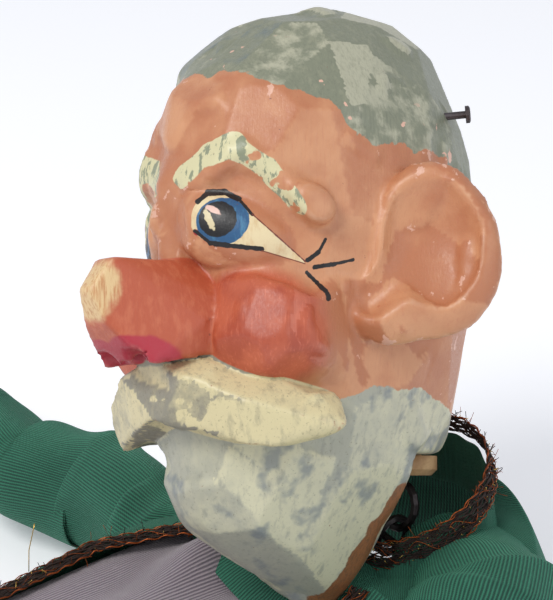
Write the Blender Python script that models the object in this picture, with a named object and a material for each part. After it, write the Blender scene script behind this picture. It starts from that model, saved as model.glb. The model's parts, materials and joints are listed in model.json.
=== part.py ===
"""A string marionette of a bearded old man, lying on its back with its head upright on the chest.

World axes: -Y points to the feet, +X to the puppet's left, +Z up. The origin is on the flat back of the jacket,
under the chest. Everything below is in millimetres until it is handed to Blender in metres.
"""

import math

import bmesh
import bpy
from mathutils import Matrix, Vector

# ---------------------------------------------------------------- driving dimensions (mm and degrees)
GAP = 0.3                    # clearance between pieces that touch
CLOTH = 1.6                  # wall of a garment's solid
WIRE = 1.1                   # radius of the iron wire of eyes, rings and links
PIN = 1.0                    # radius of the hinge pins

CHEST_LENGTH = 104.0
CHEST_TOP_Y = 38.0
CHEST_THICKNESS = 24.0
SHOULDER_HALF = 44.0
SHOULDER_STEP = 6.0          # how much narrower the block is under the jacket
WAIST_HALF = 28.0
JACKET_TOP_Y = 16.0
JACKET_SIDE = 5.0            # room between the chest block's side and the jacket
JACKET_HEM = 12.0            # how far the jacket hangs past the chest block
JACKET_SIDES = 20            # corners of the jacket's section, and how square it is
JACKET_POWER = 5.0
BIB_HALF = 19.0

NECK_Y = 48.0
NECK_Z = 38.0
HEAD_LEAN_BACK = 21.5        # face direction above the horizon
HEAD_TILT_RIGHT = 27.0
RING = 5.0                   # major radius of the neck link
NECK_EYE = 6.0               # major radius of the neck plug's eye
PLUG_FOOT = 15.5             # neck plug's lower face above the neck pivot
PLUG_FLANGE = 7.0
PLUG_FLANGE_RADIUS = 10.0
SPIGOT_RADIUS = 6.0
SPIGOT_LENGTH = 24.0

HEAD_HEIGHT = 134.0          # crown above the neck pivot
AXIS_FORWARD = 32.0          # skull axis in front of the neck pivot
SKULL_HALF_WIDTH = 36.8
SKULL_FRONT = 43.5           # forehead in front of the skull axis
NOSE_REACH = 67.6            # nose tip in front of the skull axis
BEARD_DROP = 13.0            # beard tip below the neck pivot
MOUSTACHE_HALF = 39.0
EAR_REACH = 57.0             # ear rim out from the middle plane
NAIL_RADIUS = 0.95
NAIL_HEAD_RADIUS = 2.2
NAIL_STANDS_OUT = 5.6

SHOULDER_X = 55.0
SHOULDER_Y = 28.0
ARM_Z = 16.0
SHOULDER_EYE = 4.0
SHOULDER_LINK = 6.2           # major radius of the loose ring between torso and arm
RIGHT_ARM_SPREAD = 84.0      # from the feet direction, in the plane of the floor
LEFT_ARM_SPREAD = 80.0
UPPER_ARM = 62.0
FOREARM = 56.0
HAND = 40.0
ARM_RADIUS = 8.0
SLEEVE_RADIUS = 14.0
SLEEVE_END_RADIUS = 11.5
ELBOW_CLEAR = 17.5           # sleeves stop this far from the elbow

WAIST_Y = -84.0
PELVIS_LENGTH = 26.0
PELVIS_HALF = 27.0
PELVIS_THICKNESS = 21.0
BODY_Z = 15.0                # height of the torso's and legs' middle
HIP_X = 16.0
HIP_Y = -118.0
THIGH = 92.0
SHIN = 88.0
THIGH_RADIUS = 8.5
SHIN_RADIUS = 7.5
TROUSER_RADIUS = 13.0
TROUSER_END_RADIUS = 11.0
KNEE_CLEAR = 17.0
BOOT_SOLE = 9.0
BOOT_LENGTH = 37.0
STRING_EYE = 1.7             # major radius of the small eyes for hand and knee strings
STRING_WIRE = 0.55
TONGUE = 4.6                 # thickness of a hinge tongue
FORK_SLOT = TONGUE + 2 * GAP

MM = 0.001
SIDES = {"left": 1, "right": -1}


# ---------------------------------------------------------------- materials
def make_material(name, color, roughness, metallic=0.0):
    mat = bpy.data.materials.new(name)
    mat.use_nodes = True
    shader = mat.node_tree.nodes["Principled BSDF"]
    shader.inputs["Base Color"].default_value = (*color, 1.0)
    shader.inputs["Roughness"].default_value = roughness
    shader.inputs["Metallic"].default_value = metallic
    return mat


# ---------------------------------------------------------------- shape helpers
def finish_object(name, bm, material, smooth=True):
    """Turns a bmesh in millimetres into a named object in metres."""
    bmesh.ops.recalc_face_normals(bm, faces=bm.faces)
    bmesh.ops.scale(bm, vec=(MM, MM, MM), verts=bm.verts)
    mesh = bpy.data.meshes.new(name)
    bm.to_mesh(mesh)
    bm.free()
    mesh.materials.append(material)
    if smooth:
        mesh.shade_smooth()
        mesh.set_sharp_from_angle(angle=math.radians(35))
    obj = bpy.data.objects.new(name, mesh)
    bpy.context.scene.collection.objects.link(obj)
    return obj


def place(obj, origin, frame=None):
    """Moves an object's origin to a point on its joint's axis; its mesh was made around that point."""
    matrix = (frame or Matrix.Identity(3)).to_4x4()
    matrix.translation = Vector(origin) * MM
    obj.matrix_world = matrix
    return obj


def ring_of(bm, center, side, up, half_side, half_up, count, power=2.0):
    """One closed ring of vertices: an ellipse, or a rounder rectangle where power is over 2."""
    ring = []
    for i in range(count):
        angle = 2 * math.pi * (i + 0.5) / count
        c, s = math.cos(angle), math.sin(angle)
        x = math.copysign(abs(c) ** (2 / power), c) * half_side
        y = math.copysign(abs(s) ** (2 / power), s) * half_up
        ring.append(bm.verts.new(Vector(center) + x * Vector(side) + y * Vector(up)))
    return ring


def flat_share(count, power):
    """The share of its half height that such a ring's flat top and bottom reach."""
    nearest = math.sin(math.pi / 2 - math.pi / count)
    return nearest ** (2 / power)


def bridge(bm, rings):
    count = len(rings[0])
    for low, high in zip(rings, rings[1:]):
        for i in range(count):
            j = (i + 1) % count
            bm.faces.new((low[i], low[j], high[j], high[i]))


def axes_along(direction):
    """Two unit vectors square to a direction, the second one as near to up as it can be."""
    direction = Vector(direction).normalized()
    helper = Vector((0, 0, 1)) if abs(direction.z) < 0.9 else Vector((0, 1, 0))
    side = direction.cross(helper).normalized()
    return side, side.cross(direction).normalized()


def loft(name, stations, direction, material, count=12, power=2.0, smooth=True):
    """A closed solid through stations (distance, half width, half height, sideways shift, upward shift)."""
    bm = bmesh.new()
    side, up = axes_along(direction)
    along = Vector(direction).normalized()
    rings = []
    for distance, half_side, half_up, *shift in stations:
        dx, dz = (list(shift) + [0, 0])[:2]
        center = along * distance + side * dx + up * dz
        rings.append(ring_of(bm, center, side, up, half_side, half_up, count, power))
    bridge(bm, rings)
    bm.faces.new(rings[0])
    bm.faces.new(rings[-1])
    return finish_object(name, bm, material, smooth)


def garment_tube(name, stations, direction, material, count=16, power=2.0, wall=CLOTH):
    """An open-ended tube of cloth through stations (distance, half width, half height)."""
    bm = bmesh.new()
    side, up = axes_along(direction)
    along = Vector(direction).normalized()
    outer = [ring_of(bm, along * d, side, up, a, b, count, power) for d, a, b in stations]
    inner = [ring_of(bm, along * d, side, up, a - wall, b - wall, count, power) for d, a, b in stations]
    bridge(bm, outer)
    bridge(bm, inner)
    for first, second in ((outer[0], inner[0]), (outer[-1], inner[-1])):
        bridge(bm, [first, second])
    return finish_object(name, bm, material)


def wire_ring(bm, center, normal, radius, wire, around=16, sides=6):
    """Adds a closed ring of wire to a bmesh."""
    u, v = axes_along(normal)
    w = Vector(normal).normalized()
    rings = []
    for i in range(around):
        angle = 2 * math.pi * i / around
        out = math.cos(angle) * u + math.sin(angle) * v
        rings.append(ring_of(bm, Vector(center) + radius * out, out, w, wire, wire, sides))
    bridge(bm, rings + rings[:1])


def wire_path(bm, points, wire, sides=6):
    """Adds a bent wire through points to a bmesh, closed at both ends."""
    rings = []
    points = [Vector(p) for p in points]
    reference = None
    for i, point in enumerate(points):
        ahead = (points[min(i + 1, len(points) - 1)] - points[max(i - 1, 0)]).normalized()
        if reference is None:
            reference = axes_along(ahead)[0]
        side = (reference - reference.dot(ahead) * ahead).normalized()
        reference = side
        rings.append(ring_of(bm, point, side, ahead.cross(side), wire, wire, sides))
    bridge(bm, rings)
    bm.faces.new(rings[0])
    bm.faces.new(rings[-1])


def eye_object(name, center, normal, radius, wire, material):
    bm = bmesh.new()
    wire_ring(bm, center, normal, radius, wire)
    return finish_object(name, bm, material)


def screw_eye(name, center, normal, shank_end, radius, wire, material):
    """A ring with a shank: a wire that goes round once and then runs into the wood."""
    center, shank_end = Vector(center), Vector(shank_end)
    to_wood = (shank_end - center).normalized()
    side = Vector(normal).normalized().cross(to_wood)
    steps = 14
    points = []
    for i in range(steps + 1):
        angle = math.radians(22) + math.radians(316) * i / steps
        points.append(center + radius * (math.cos(angle) * to_wood + math.sin(angle) * side))
    bm = bmesh.new()
    wire_path(bm, [*points, center + to_wood * (radius + 3.0 * wire), shank_end], wire)
    return finish_object(name, bm, material)


def rod(name, start, end, radius, material, sides=10):
    bm = bmesh.new()
    wire_path(bm, [start, end], radius, sides)
    return finish_object(name, bm, material)


def cutter(name, start, end, radius, parent, sides=12):
    """A round cutter, kept as a guide object that isn't part of the puppet."""
    bm = bmesh.new()
    wire_path(bm, [start, end], radius, sides)
    return as_guide(finish_object(name, bm, GUIDE, smooth=False), parent)


def box_cutter(name, low, high, parent, frame=None):
    bm = bmesh.new()
    low, high = Vector(low), Vector(high)
    bmesh.ops.create_cube(bm, size=1.0)
    bmesh.ops.scale(bm, vec=high - low, verts=bm.verts)
    bmesh.ops.translate(bm, vec=(low + high) / 2, verts=bm.verts)
    if frame is not None:
        bmesh.ops.transform(bm, matrix=frame.to_4x4(), verts=bm.verts)
    return as_guide(finish_object(name, bm, GUIDE, smooth=False), parent)


def as_guide(obj, parent):
    obj.hide_render = True
    obj.display_type = "WIRE"
    obj.parent = parent
    return obj


def boolean(obj, other, operation="DIFFERENCE"):
    modifier = obj.modifiers.new(operation.lower(), "BOOLEAN")
    modifier.operation = operation
    modifier.solver = "EXACT"
    modifier.object = other


def hull_guide(name, points, parent):
    """The convex solid round some points, as a guide to be joined on or cut away."""
    bm = bmesh.new()
    for point in points:
        bm.verts.new(point)
    result = bmesh.ops.convex_hull(bm, input=bm.verts)
    loose = [v for v in result["geom_interior"] if isinstance(v, bmesh.types.BMVert)]
    bmesh.ops.delete(bm, geom=loose, context="VERTS")
    return as_guide(finish_object(name, bm, GUIDE, smooth=False), parent)


# ---------------------------------------------------------------- torso
def make_torso():
    block_low = BODY_Z - CHEST_THICKNESS / 2
    half = CHEST_THICKNESS / 2
    end = CHEST_TOP_Y - CHEST_LENGTH
    stations = [
        (-CHEST_TOP_Y, SHOULDER_HALF * 0.62, half * 0.72),
        (-CHEST_TOP_Y + 8, SHOULDER_HALF, half),
        (-JACKET_TOP_Y - 2, SHOULDER_HALF - SHOULDER_STEP, half),
        (-end - 12, WAIST_HALF, half),
        (-end, WAIST_HALF - 4, half * 0.8),
    ]
    chest = loft("chest_block", stations, (0, -1, 0), WOOD, count=16, power=4.0, smooth=False)
    place(chest, (0, 0, BODY_Z))

    # jacket: a tube whose underside is flat, so that the puppet lies on it
    jacket_half = BODY_Z / flat_share(JACKET_SIDES, JACKET_POWER)
    jacket_end = -end + JACKET_HEM
    jacket = garment_tube(
        "jacket_body",
        [
            (-JACKET_TOP_Y, SHOULDER_HALF - SHOULDER_STEP + JACKET_SIDE, jacket_half),
            (20, (SHOULDER_HALF - SHOULDER_STEP + WAIST_HALF) / 2 + JACKET_SIDE + 3, jacket_half),
            (jacket_end, WAIST_HALF + JACKET_SIDE + 5, jacket_half),
        ],
        (0, -1, 0), GREEN, count=JACKET_SIDES, power=JACKET_POWER)
    place(jacket, (0, 0, BODY_Z))

    # shirt front and braids lie on the jacket's flat front
    top = 2 * BODY_Z + GAP
    front_start, front_end = JACKET_TOP_Y - 2, -jacket_end + 4
    bib = slab("bib", -BIB_HALF, BIB_HALF, front_end, front_start, top, top + CLOTH, LAVENDER)
    for side, sign in SIDES.items():
        inner = sign * (BIB_HALF + GAP)
        outer = sign * (BIB_HALF + GAP + 4.5)
        slab("front_trim_" + side, min(inner, outer), max(inner, outer), front_end, front_start,
             top, top + 2.2, TINSEL)

    # neck staple: a crossbar along X through the neck pivot, on two legs driven into the block's end
    foot_y, foot_z = CHEST_TOP_Y - 9, BODY_Z + 2
    wide = RING + 2.5
    points = [(-wide, foot_y, foot_z), (-wide, NECK_Y - 6, NECK_Z - 9), (-wide, NECK_Y - 1, NECK_Z - 1.5),
              (-wide + 1.5, NECK_Y, NECK_Z), (0, NECK_Y, NECK_Z), (wide - 1.5, NECK_Y, NECK_Z),
              (wide, NECK_Y - 1, NECK_Z - 1.5), (wide, NECK_Y - 6, NECK_Z - 9), (wide, foot_y, foot_z)]
    bm = bmesh.new()
    wire_path(bm, points, WIRE)
    finish_object("neck_staple", bm, IRON)
    for sign in (-1, 1):
        start = Vector((sign * wide, foot_y, foot_z))
        way = (Vector((sign * wide, NECK_Y - 6, NECK_Z - 9)) - start).normalized()
        hole = cutter("neck_staple_hole", start - way * GAP, start + way * 30, WIRE + GAP, None)
        boolean(chest, hole)

    for side, sign in SIDES.items():
        center = (sign * SHOULDER_X, SHOULDER_Y, ARM_Z)
        shank = (sign * (SHOULDER_HALF - 12), SHOULDER_Y, ARM_Z)
        screw_eye("shoulder_eye_" + side, center, (0, 0, 1), shank, SHOULDER_EYE, WIRE, IRON)
        hole = cutter("shoulder_hole_" + side, (shank[0] - sign * GAP, SHOULDER_Y, ARM_Z),
                      (sign * (SHOULDER_X - SHOULDER_EYE), SHOULDER_Y, ARM_Z), WIRE + GAP, None)
        boolean(chest, hole)

    return chest


def slab(name, x0, x1, y0, y1, z0, z1, material):
    """A strip of cloth or braid lying flat, slightly crowned along its middle."""
    bm = bmesh.new()
    rings = []
    for y in (y0, y0 + 2, y1 - 2, y1):
        inset = 0.8 if y in (y0, y1) else 0.0
        rings.append([bm.verts.new((x, y, z)) for x, z in (
            (x0 + inset, z0), (x1 - inset, z0), (x1 - inset, z1 - 0.4), ((x0 + x1) / 2, z1), (x0 + inset, z1 - 0.4))])
    bridge(bm, rings)
    bm.faces.new(rings[0])
    bm.faces.new(rings[-1])
    return finish_object(name, bm, material)


# ---------------------------------------------------------------- neck and head
def link_frame():
    """Axes of the neck link: the world's, leaned back about the staple's crossbar."""
    return Matrix.Rotation(math.radians(-HEAD_LEAN_BACK), 3, "X")


def head_frame():
    """The head's own axes, with +Z up through the crown and -Y out of the face."""
    return link_frame() @ Matrix.Rotation(math.radians(-HEAD_TILT_RIGHT), 3, "Y")


LINK_MIDDLE = RING - 2 * WIRE - 1.3     # middle of the link's ring above the staple's crossbar
LINK_TOP = LINK_MIDDLE + RING


def lean_point():
    """Where the plug's eye hangs in the top of the link's ring; the head leans sideways about it."""
    return Vector((0, NECK_Y, NECK_Z)) + link_frame() @ Vector((0, 0, LINK_TOP))


def head_origin():
    """Foot of the head's own up axis, LINK_TOP under the lean point."""
    return lean_point() - head_frame() @ Vector((0, 0, LINK_TOP))


def make_neck():
    """Link, plug and eye. The link stands square to the crossbar, the eye square to the link."""
    frame = head_frame()
    pivot = head_origin()
    place(eye_object("neck_link", (0, 0, LINK_MIDDLE), (1, 0, 0), RING, WIRE, IRON), (0, NECK_Y, NECK_Z), link_frame())

    eye_center = LINK_TOP - 2 * WIRE - 0.35 + NECK_EYE
    eye = screw_eye("neck_eye", (0, 0, eye_center), (0, 1, 0), (0, 0, PLUG_FOOT + 9), NECK_EYE, WIRE, IRON)
    place(eye, pivot, frame)

    flange_top = PLUG_FOOT + PLUG_FLANGE
    plug = loft("neck_plug", [
        (PLUG_FOOT + 2, PLUG_FLANGE_RADIUS - 1.5, PLUG_FLANGE_RADIUS - 1.5),
        (PLUG_FOOT + 3.5, PLUG_FLANGE_RADIUS, PLUG_FLANGE_RADIUS),
        (flange_top, PLUG_FLANGE_RADIUS, PLUG_FLANGE_RADIUS),
        (flange_top + 0.01, SPIGOT_RADIUS, SPIGOT_RADIUS),
        (flange_top + SPIGOT_LENGTH - 1, SPIGOT_RADIUS, SPIGOT_RADIUS),
        (flange_top + SPIGOT_LENGTH, SPIGOT_RADIUS - 1, SPIGOT_RADIUS - 1),
    ], (0, 0, 1), WOOD, count=20)
    place(plug, pivot, frame)
    shank_hole = cutter("neck_shank_hole", (0, 0, PLUG_FOOT - 2), (0, 0, PLUG_FOOT + 9 + GAP), WIRE + GAP, None)
    place(shank_hole, pivot, frame)
    boolean(plug, shank_hole)
    eye_room = box_cutter("neck_eye_room", (-NECK_EYE - WIRE - 1, -WIRE - 0.6, PLUG_FOOT - 2),
                          (NECK_EYE + WIRE + 1, WIRE + 0.6, eye_center + NECK_EYE + 3 * WIRE + 0.6), None)
    place(eye_room, pivot, frame)
    boolean(plug, eye_room)

    collar = garment_tube("collar_trim", [
        (PLUG_FOOT + 3.6, PLUG_FLANGE_RADIUS + GAP + 4.5, PLUG_FLANGE_RADIUS + GAP + 4.5),
        (PLUG_FOOT + 5.2, PLUG_FLANGE_RADIUS + GAP + 5.2, PLUG_FLANGE_RADIUS + GAP + 5.2),
        (flange_top - 0.3, PLUG_FLANGE_RADIUS + GAP + 4.5, PLUG_FLANGE_RADIUS + GAP + 4.5),
    ], (0, 0, 1), TINSEL, count=20, wall=4.5)
    place(collar, pivot, frame)


def make_head():
    frame = head_frame()
    pivot = head_origin()
    top = HEAD_HEIGHT
    axis = -AXIS_FORWARD
    neck_bottom = PLUG_FOOT + PLUG_FLANGE + GAP

    # beard, jaw and skull in one loft: height, half width, reach forward and reach back of the skull axis
    outline = [
        (-BEARD_DROP, 3.0, 2.0, 8.0), (-8.0, 7.5, 10.0, 12.0), (6.0, 17.0, 35.0, 20.0), (18.0, 23.0, 39.0, 34.0),
        (28.0, 27.0, 41.0, 40.0), (46.0, 31.0, 40.0, 42.0), (62.0, 34.0, 39.0, 43.5), (80.0, 36.0, 41.0, 43.5),
        (94.0, SKULL_HALF_WIDTH, SKULL_FRONT, 42.0), (106.0, 34.0, 40.5, 38.5), (118.0, 27.6, 31.0, 33.7),
        (124.5, 24.0, 24.5, 32.0), (130.0, 17.0, 14.0, 27.0), (top, 8.0, 3.0, 18.0),
    ]
    bm = bmesh.new()
    rings = []
    for height, wide, forward, back in outline:
        middle = (0, axis + (back - forward) / 2, height)
        rings.append(ring_of(bm, middle, (1, 0, 0), (0, 1, 0), wide, (forward + back) / 2, 18, 2.35))
    bridge(bm, rings)
    bm.faces.new(rings[0])
    bm.faces.new(rings[-1])
    head = finish_object("head", bm, PAINT, smooth=False)
    place(head, pivot, frame)

    front = axis - SKULL_FRONT
    tip_y = axis - NOSE_REACH
    pieces = {
        "nose": [(s * x, y, z) for s in (-1, 1) for x, y, z in (
            (4.2, tip_y + 5, 66.4), (2.6, tip_y, 58.8), (4.5, tip_y + 3.5, 51), (5.5, tip_y + 8, 46.3),
            (9.5, tip_y + 13, 41.8), (14, tip_y + 24, 52.3), (13, tip_y + 28, 45.2), (8, tip_y + 23, 63.1),
            (4.5, front + 4, 85), (12, front + 11, 60))],
        "cheeks": [(x, y, z) for s in (-1, 1) for x, y, z in (
            (s * 32, axis - 26, 62), (s * 26, axis - 40, 62), (s * 12, front - 1, 60), (s * 32, axis - 24, 44),
            (s * 12, front - 1, 46), (s * 29, axis - 19, 72))],
    }
    ear_y = axis + 4
    for side, s in SIDES.items():
        pieces["moustache_" + side] = [(s * x, front - y, z) for x, y, z in (
            (-1, 5.0, 44), (-1, 4.5, 30), (-1, -15, 43), (12, 5.0, 40), (10, -3, 45), (33, -17, 35.5),
            (MOUSTACHE_HALF, -20.4, 29.1), (25, -2, 34), (34, -11.5, 30.5), (24, -4.4, 23.6), (36, -16.5, 26),
            (26, -28, 27), (30, -26, 35))]
        pieces["ear_" + side] = [
            (s * 31, ear_y - 8, 90), (s * 31, ear_y - 14, 55), (s * 31, ear_y + 16, 84), (s * 29, ear_y + 8, 51),
            (s * 44, ear_y - 6, 91), (s * 51, ear_y + 1, 90), (s * EAR_REACH, ear_y + 7, 80),
            (s * (EAR_REACH - 1), ear_y + 9, 66), (s * 49, ear_y + 4, 54), (s * 38, ear_y - 8, 49),
            (s * 41, ear_y + 14, 62), (s * 43, ear_y + 14, 80)]
    for name, points in pieces.items():
        guide = hull_guide("head_" + name, points, None)
        place(guide, pivot, frame)
        boolean(head, guide, "UNION")

    for side, s in SIDES.items():
        scoop = hull_guide("ear_scoop_" + side, [
            (s * 42, ear_y - 16, 84), (s * 62, ear_y - 8, 85), (s * 62, ear_y - 2, 60), (s * 42, ear_y - 16, 58),
            (s * 45, ear_y + 3, 82), (s * 45, ear_y + 3, 64), (s * 37, ear_y - 4, 79), (s * 37, ear_y - 5, 64)], None)
        place(scoop, pivot, frame)
        boolean(head, scoop)

    for side, s in SIDES.items():
        way = Vector((s * 0.72, 0.68, 0.08)).normalized()
        skull_out = Vector((s * 30.0, axis + 18.5, 105.3))
        root = skull_out - way * 9.0
        length = (skull_out - root).length + NAIL_STANDS_OUT
        bm = bmesh.new()
        rings = []
        u, v = axes_along(way)
        for distance, radius in ((0, NAIL_RADIUS), (length, NAIL_RADIUS), (length + 0.01, NAIL_HEAD_RADIUS),
                                 (length + 0.9, NAIL_HEAD_RADIUS), (length + 1.2, NAIL_HEAD_RADIUS - 0.5)):
            rings.append(ring_of(bm, root + way * distance, u, v, radius, radius, 10))
        bridge(bm, rings)
        bm.faces.new(rings[0])
        bm.faces.new(rings[-1])
        nail = finish_object("temple_nail_" + side, bm, IRON)
        place(nail, pivot, frame)
        hole = cutter("nail_hole_" + side, root - way * GAP, root + way * 20, NAIL_RADIUS + GAP, None)
        place(hole, pivot, frame)
        boolean(head, hole)

    # neck socket, and the flat behind the beard where the neck's flange bears
    under = box_cutter("neck_recess", (-60, -PLUG_FLANGE_RADIUS - 6.2, -40),
                       (60, 60, neck_bottom), None)
    place(under, pivot, frame)
    boolean(head, under)
    bore = cutter("neck_bore", (0, 0, neck_bottom - 10),
                  (0, 0, PLUG_FOOT + PLUG_FLANGE + SPIGOT_LENGTH + GAP), SPIGOT_RADIUS + GAP, None, sides=20)
    place(bore, pivot, frame)
    boolean(head, bore)


# ---------------------------------------------------------------- hinged limbs
def limb(name, length, start_radius, middle_radius, end_radius, direction, origin, material, start=0.0):
    """A rounded wooden limb along a direction, its origin on its upper joint."""
    stations = [(start, start_radius * 0.8, start_radius * 0.8), (start + 2.5, start_radius, start_radius),
                (start + length * 0.45, middle_radius, middle_radius), (length - 2.5, end_radius, end_radius),
                (length, end_radius * 0.8, end_radius * 0.8)]
    return place(loft(name, stations, direction, material, count=12), origin)


def cut_fork(obj, name, center, direction, pin_axis, depth, origin):
    """Cuts a slot for a tongue and the pin's hole across it, at an end of a limb."""
    along = Vector(direction).normalized()
    across = Vector(pin_axis).normalized()
    third = along.cross(across)
    frame = Matrix((across, along, third)).transposed()
    local = frame.inverted() @ Vector(center)
    slot = box_cutter(name + "_slot", local + Vector((-FORK_SLOT / 2, -depth, -30)),
                      local + Vector((FORK_SLOT / 2, 40, 30)), None, frame)
    place(slot, origin)
    boolean(obj, slot)
    hole = cutter(name + "_pin_hole", Vector(center) - across * 30, Vector(center) + across * 30, PIN + GAP, None)
    place(hole, origin)
    boolean(obj, hole)


def cut_tongue(obj, name, direction, pin_axis, depth, origin, radius):
    """Thins a limb's upper end to a tongue round its joint and drills the pin's hole."""
    along = Vector(direction).normalized()
    across = Vector(pin_axis).normalized()
    third = along.cross(across)
    frame = Matrix((across, along, third)).transposed()
    for sign in (-1, 1):
        low = Vector((min(sign * TONGUE / 2, sign * 30), -30, -30))
        high = Vector((max(sign * TONGUE / 2, sign * 30), depth, 30))
        cheek = box_cutter(name + "_cheek", low, high, None, frame)
        place(cheek, origin)
        boolean(obj, cheek)
    hole = cutter(name + "_pin_hole", -across * 30, across * 30, PIN + GAP, None)
    place(hole, origin)
    boolean(obj, hole)


def hinge_pin(name, center, pin_axis, half_length):
    across = Vector(pin_axis).normalized()
    pin = rod(name, -across * half_length, across * half_length, PIN, IRON)
    return place(pin, center)


def make_arm(side, spread):
    sign = SIDES[side]
    angle = math.radians(spread)
    direction = Vector((sign * math.sin(angle), -math.cos(angle), 0))
    up = Vector((0, 0, 1))
    across = direction.cross(up)
    eye_low = Vector((sign * SHOULDER_X, SHOULDER_Y - SHOULDER_EYE, ARM_Z))

    # a loose ring hangs from the torso's eye towards the feet; the arm's eye hangs in that ring
    ring_step = 2 * WIRE + 0.35
    ring_center = eye_low + Vector((0, ring_step - SHOULDER_LINK, 0))
    place(eye_object("shoulder_ring_" + side, ring_center - eye_low, (1, 0, 0), SHOULDER_LINK, WIRE, IRON), eye_low)
    pivot = ring_center - Vector((0, SHOULDER_LINK, 0))
    eye_center = direction * (SHOULDER_EYE - ring_step)
    shank_end = direction * (SHOULDER_EYE + 16)
    place(screw_eye("arm_eye_" + side, eye_center, up, shank_end, SHOULDER_EYE, WIRE, IRON), pivot)

    top = 2 * SHOULDER_EYE + 2.0
    end = UPPER_ARM + ARM_RADIUS * 0.85
    upper = limb("upper_arm_" + side, end, ARM_RADIUS * 0.8, ARM_RADIUS, ARM_RADIUS * 0.85, direction, pivot,
                 WOOD, start=top)
    shank_hole = cutter("arm_shank_hole_" + side, direction * (top - 3), shank_end + direction * GAP,
                        WIRE + GAP, None)
    place(shank_hole, pivot)
    boolean(upper, shank_hole)
    elbow = pivot + direction * UPPER_ARM
    cut_fork(upper, "elbow_" + side, direction * UPPER_ARM, direction, across, ARM_RADIUS + 1.0, pivot)
    hinge_pin("elbow_pin_" + side, elbow, across, ARM_RADIUS * 0.78)
    sleeve_stations = [(top + 3, SLEEVE_END_RADIUS + 1.5), (UPPER_ARM * 0.42, SLEEVE_RADIUS),
                       (UPPER_ARM - ELBOW_CLEAR, SLEEVE_END_RADIUS)]
    place(garment_tube("upper_sleeve_" + side, [(d, r, r) for d, r in sleeve_stations], direction, GREEN), pivot)

    forearm_start = -ARM_RADIUS * 0.8
    forearm = limb("forearm_" + side, FOREARM + 5, ARM_RADIUS * 0.85, ARM_RADIUS * 0.8, ARM_RADIUS * 0.65,
                   direction, elbow, WOOD, start=forearm_start)
    cut_tongue(forearm, "forearm_" + side, direction, across, ARM_RADIUS + 1.5, elbow, ARM_RADIUS)
    wrist = elbow + direction * FOREARM
    cut_fork(forearm, "wrist_" + side, direction * FOREARM, direction, across, ARM_RADIUS * 0.75, elbow)
    hinge_pin("wrist_pin_" + side, wrist, across, ARM_RADIUS * 0.52)
    cuff_start = FOREARM - 17
    lower_stations = [(ELBOW_CLEAR, SLEEVE_END_RADIUS), (FOREARM * 0.5, SLEEVE_END_RADIUS + 1),
                      (cuff_start - GAP, SLEEVE_END_RADIUS - 1.5)]
    place(garment_tube("lower_sleeve_" + side, [(d, r, r) for d, r in lower_stations], direction, GREEN), elbow)
    cuff_stations = [(cuff_start, SLEEVE_END_RADIUS - 1), (FOREARM - 10, SLEEVE_END_RADIUS)]
    place(garment_tube("cuff_" + side, [(d, r, r) for d, r in cuff_stations], direction, GREEN, wall=CLOTH + 0.6),
          elbow)

    # mitten-like carved hand: tongue, wrist, palm and fingers, with a thumb joined on
    hand = place(loft("hand_" + side, [
        (-3.4, 3.0, 2.6), (-1.0, 4.2, 4.0), (7.0, 4.6, 4.4), (11.0, 5.0, 4.4), (18.0, 8.6, 4.0), (27.0, 8.4, 3.6),
        (HAND - 5, 6.4, 3.0), (HAND, 3.4, 2.0)], direction, SKIN, count=12, power=2.6), wrist)
    thumb_side = direction.cross(up) * sign
    thumb = hull_guide("thumb_" + side, [
        direction * 13 + thumb_side * 5 + up * 2.4, direction * 13 + thumb_side * 5 - up * 2.4,
        direction * 22 + thumb_side * 6 + up * 2.4, direction * 22 + thumb_side * 6 - up * 2.4,
        direction * 27 + thumb_side * 13 + up * 1.8, direction * 27 + thumb_side * 13 - up * 1.8,
        direction * 22 + thumb_side * 13.5, direction * 29 + thumb_side * 11], None)
    place(thumb, wrist)
    boolean(hand, thumb, "UNION")
    cut_tongue(hand, "hand_" + side, direction, across, ARM_RADIUS * 0.8, wrist, ARM_RADIUS)
    string_eye("hand", side, direction, 17.0, 4.4, hand, wrist)


def string_eye(where, side, direction, distance, surface, wood, origin):
    """A small screw eye standing on a limb's upper side, for a string."""
    up = Vector((0, 0, 1))
    foot = direction * distance + up * 0.6
    ring_at = direction * distance + up * (surface + STRING_EYE + STRING_WIRE + GAP)
    eye = screw_eye(where + "_string_eye_" + side, ring_at, direction, foot, STRING_EYE, STRING_WIRE, IRON)
    place(eye, origin)
    hole = cutter(where + "_eye_hole_" + side, foot - up * GAP, foot + up * 20, STRING_WIRE + GAP, None)
    place(hole, origin)
    boolean(wood, hole)


# ---------------------------------------------------------------- hips and legs
def make_pelvis():
    half = PELVIS_THICKNESS / 2
    waist = (0, WAIST_Y, BODY_Z)
    pelvis = loft("pelvis_block", [
        (9.0, PELVIS_HALF - 8, half * 0.75), (12.0, PELVIS_HALF, half), (9.0 + PELVIS_LENGTH - 3, PELVIS_HALF, half),
        (9.0 + PELVIS_LENGTH, PELVIS_HALF - 3, half * 0.8)], (0, -1, 0), WOOD, count=16, power=4.0, smooth=False)
    place(pelvis, waist)
    return pelvis


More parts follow.
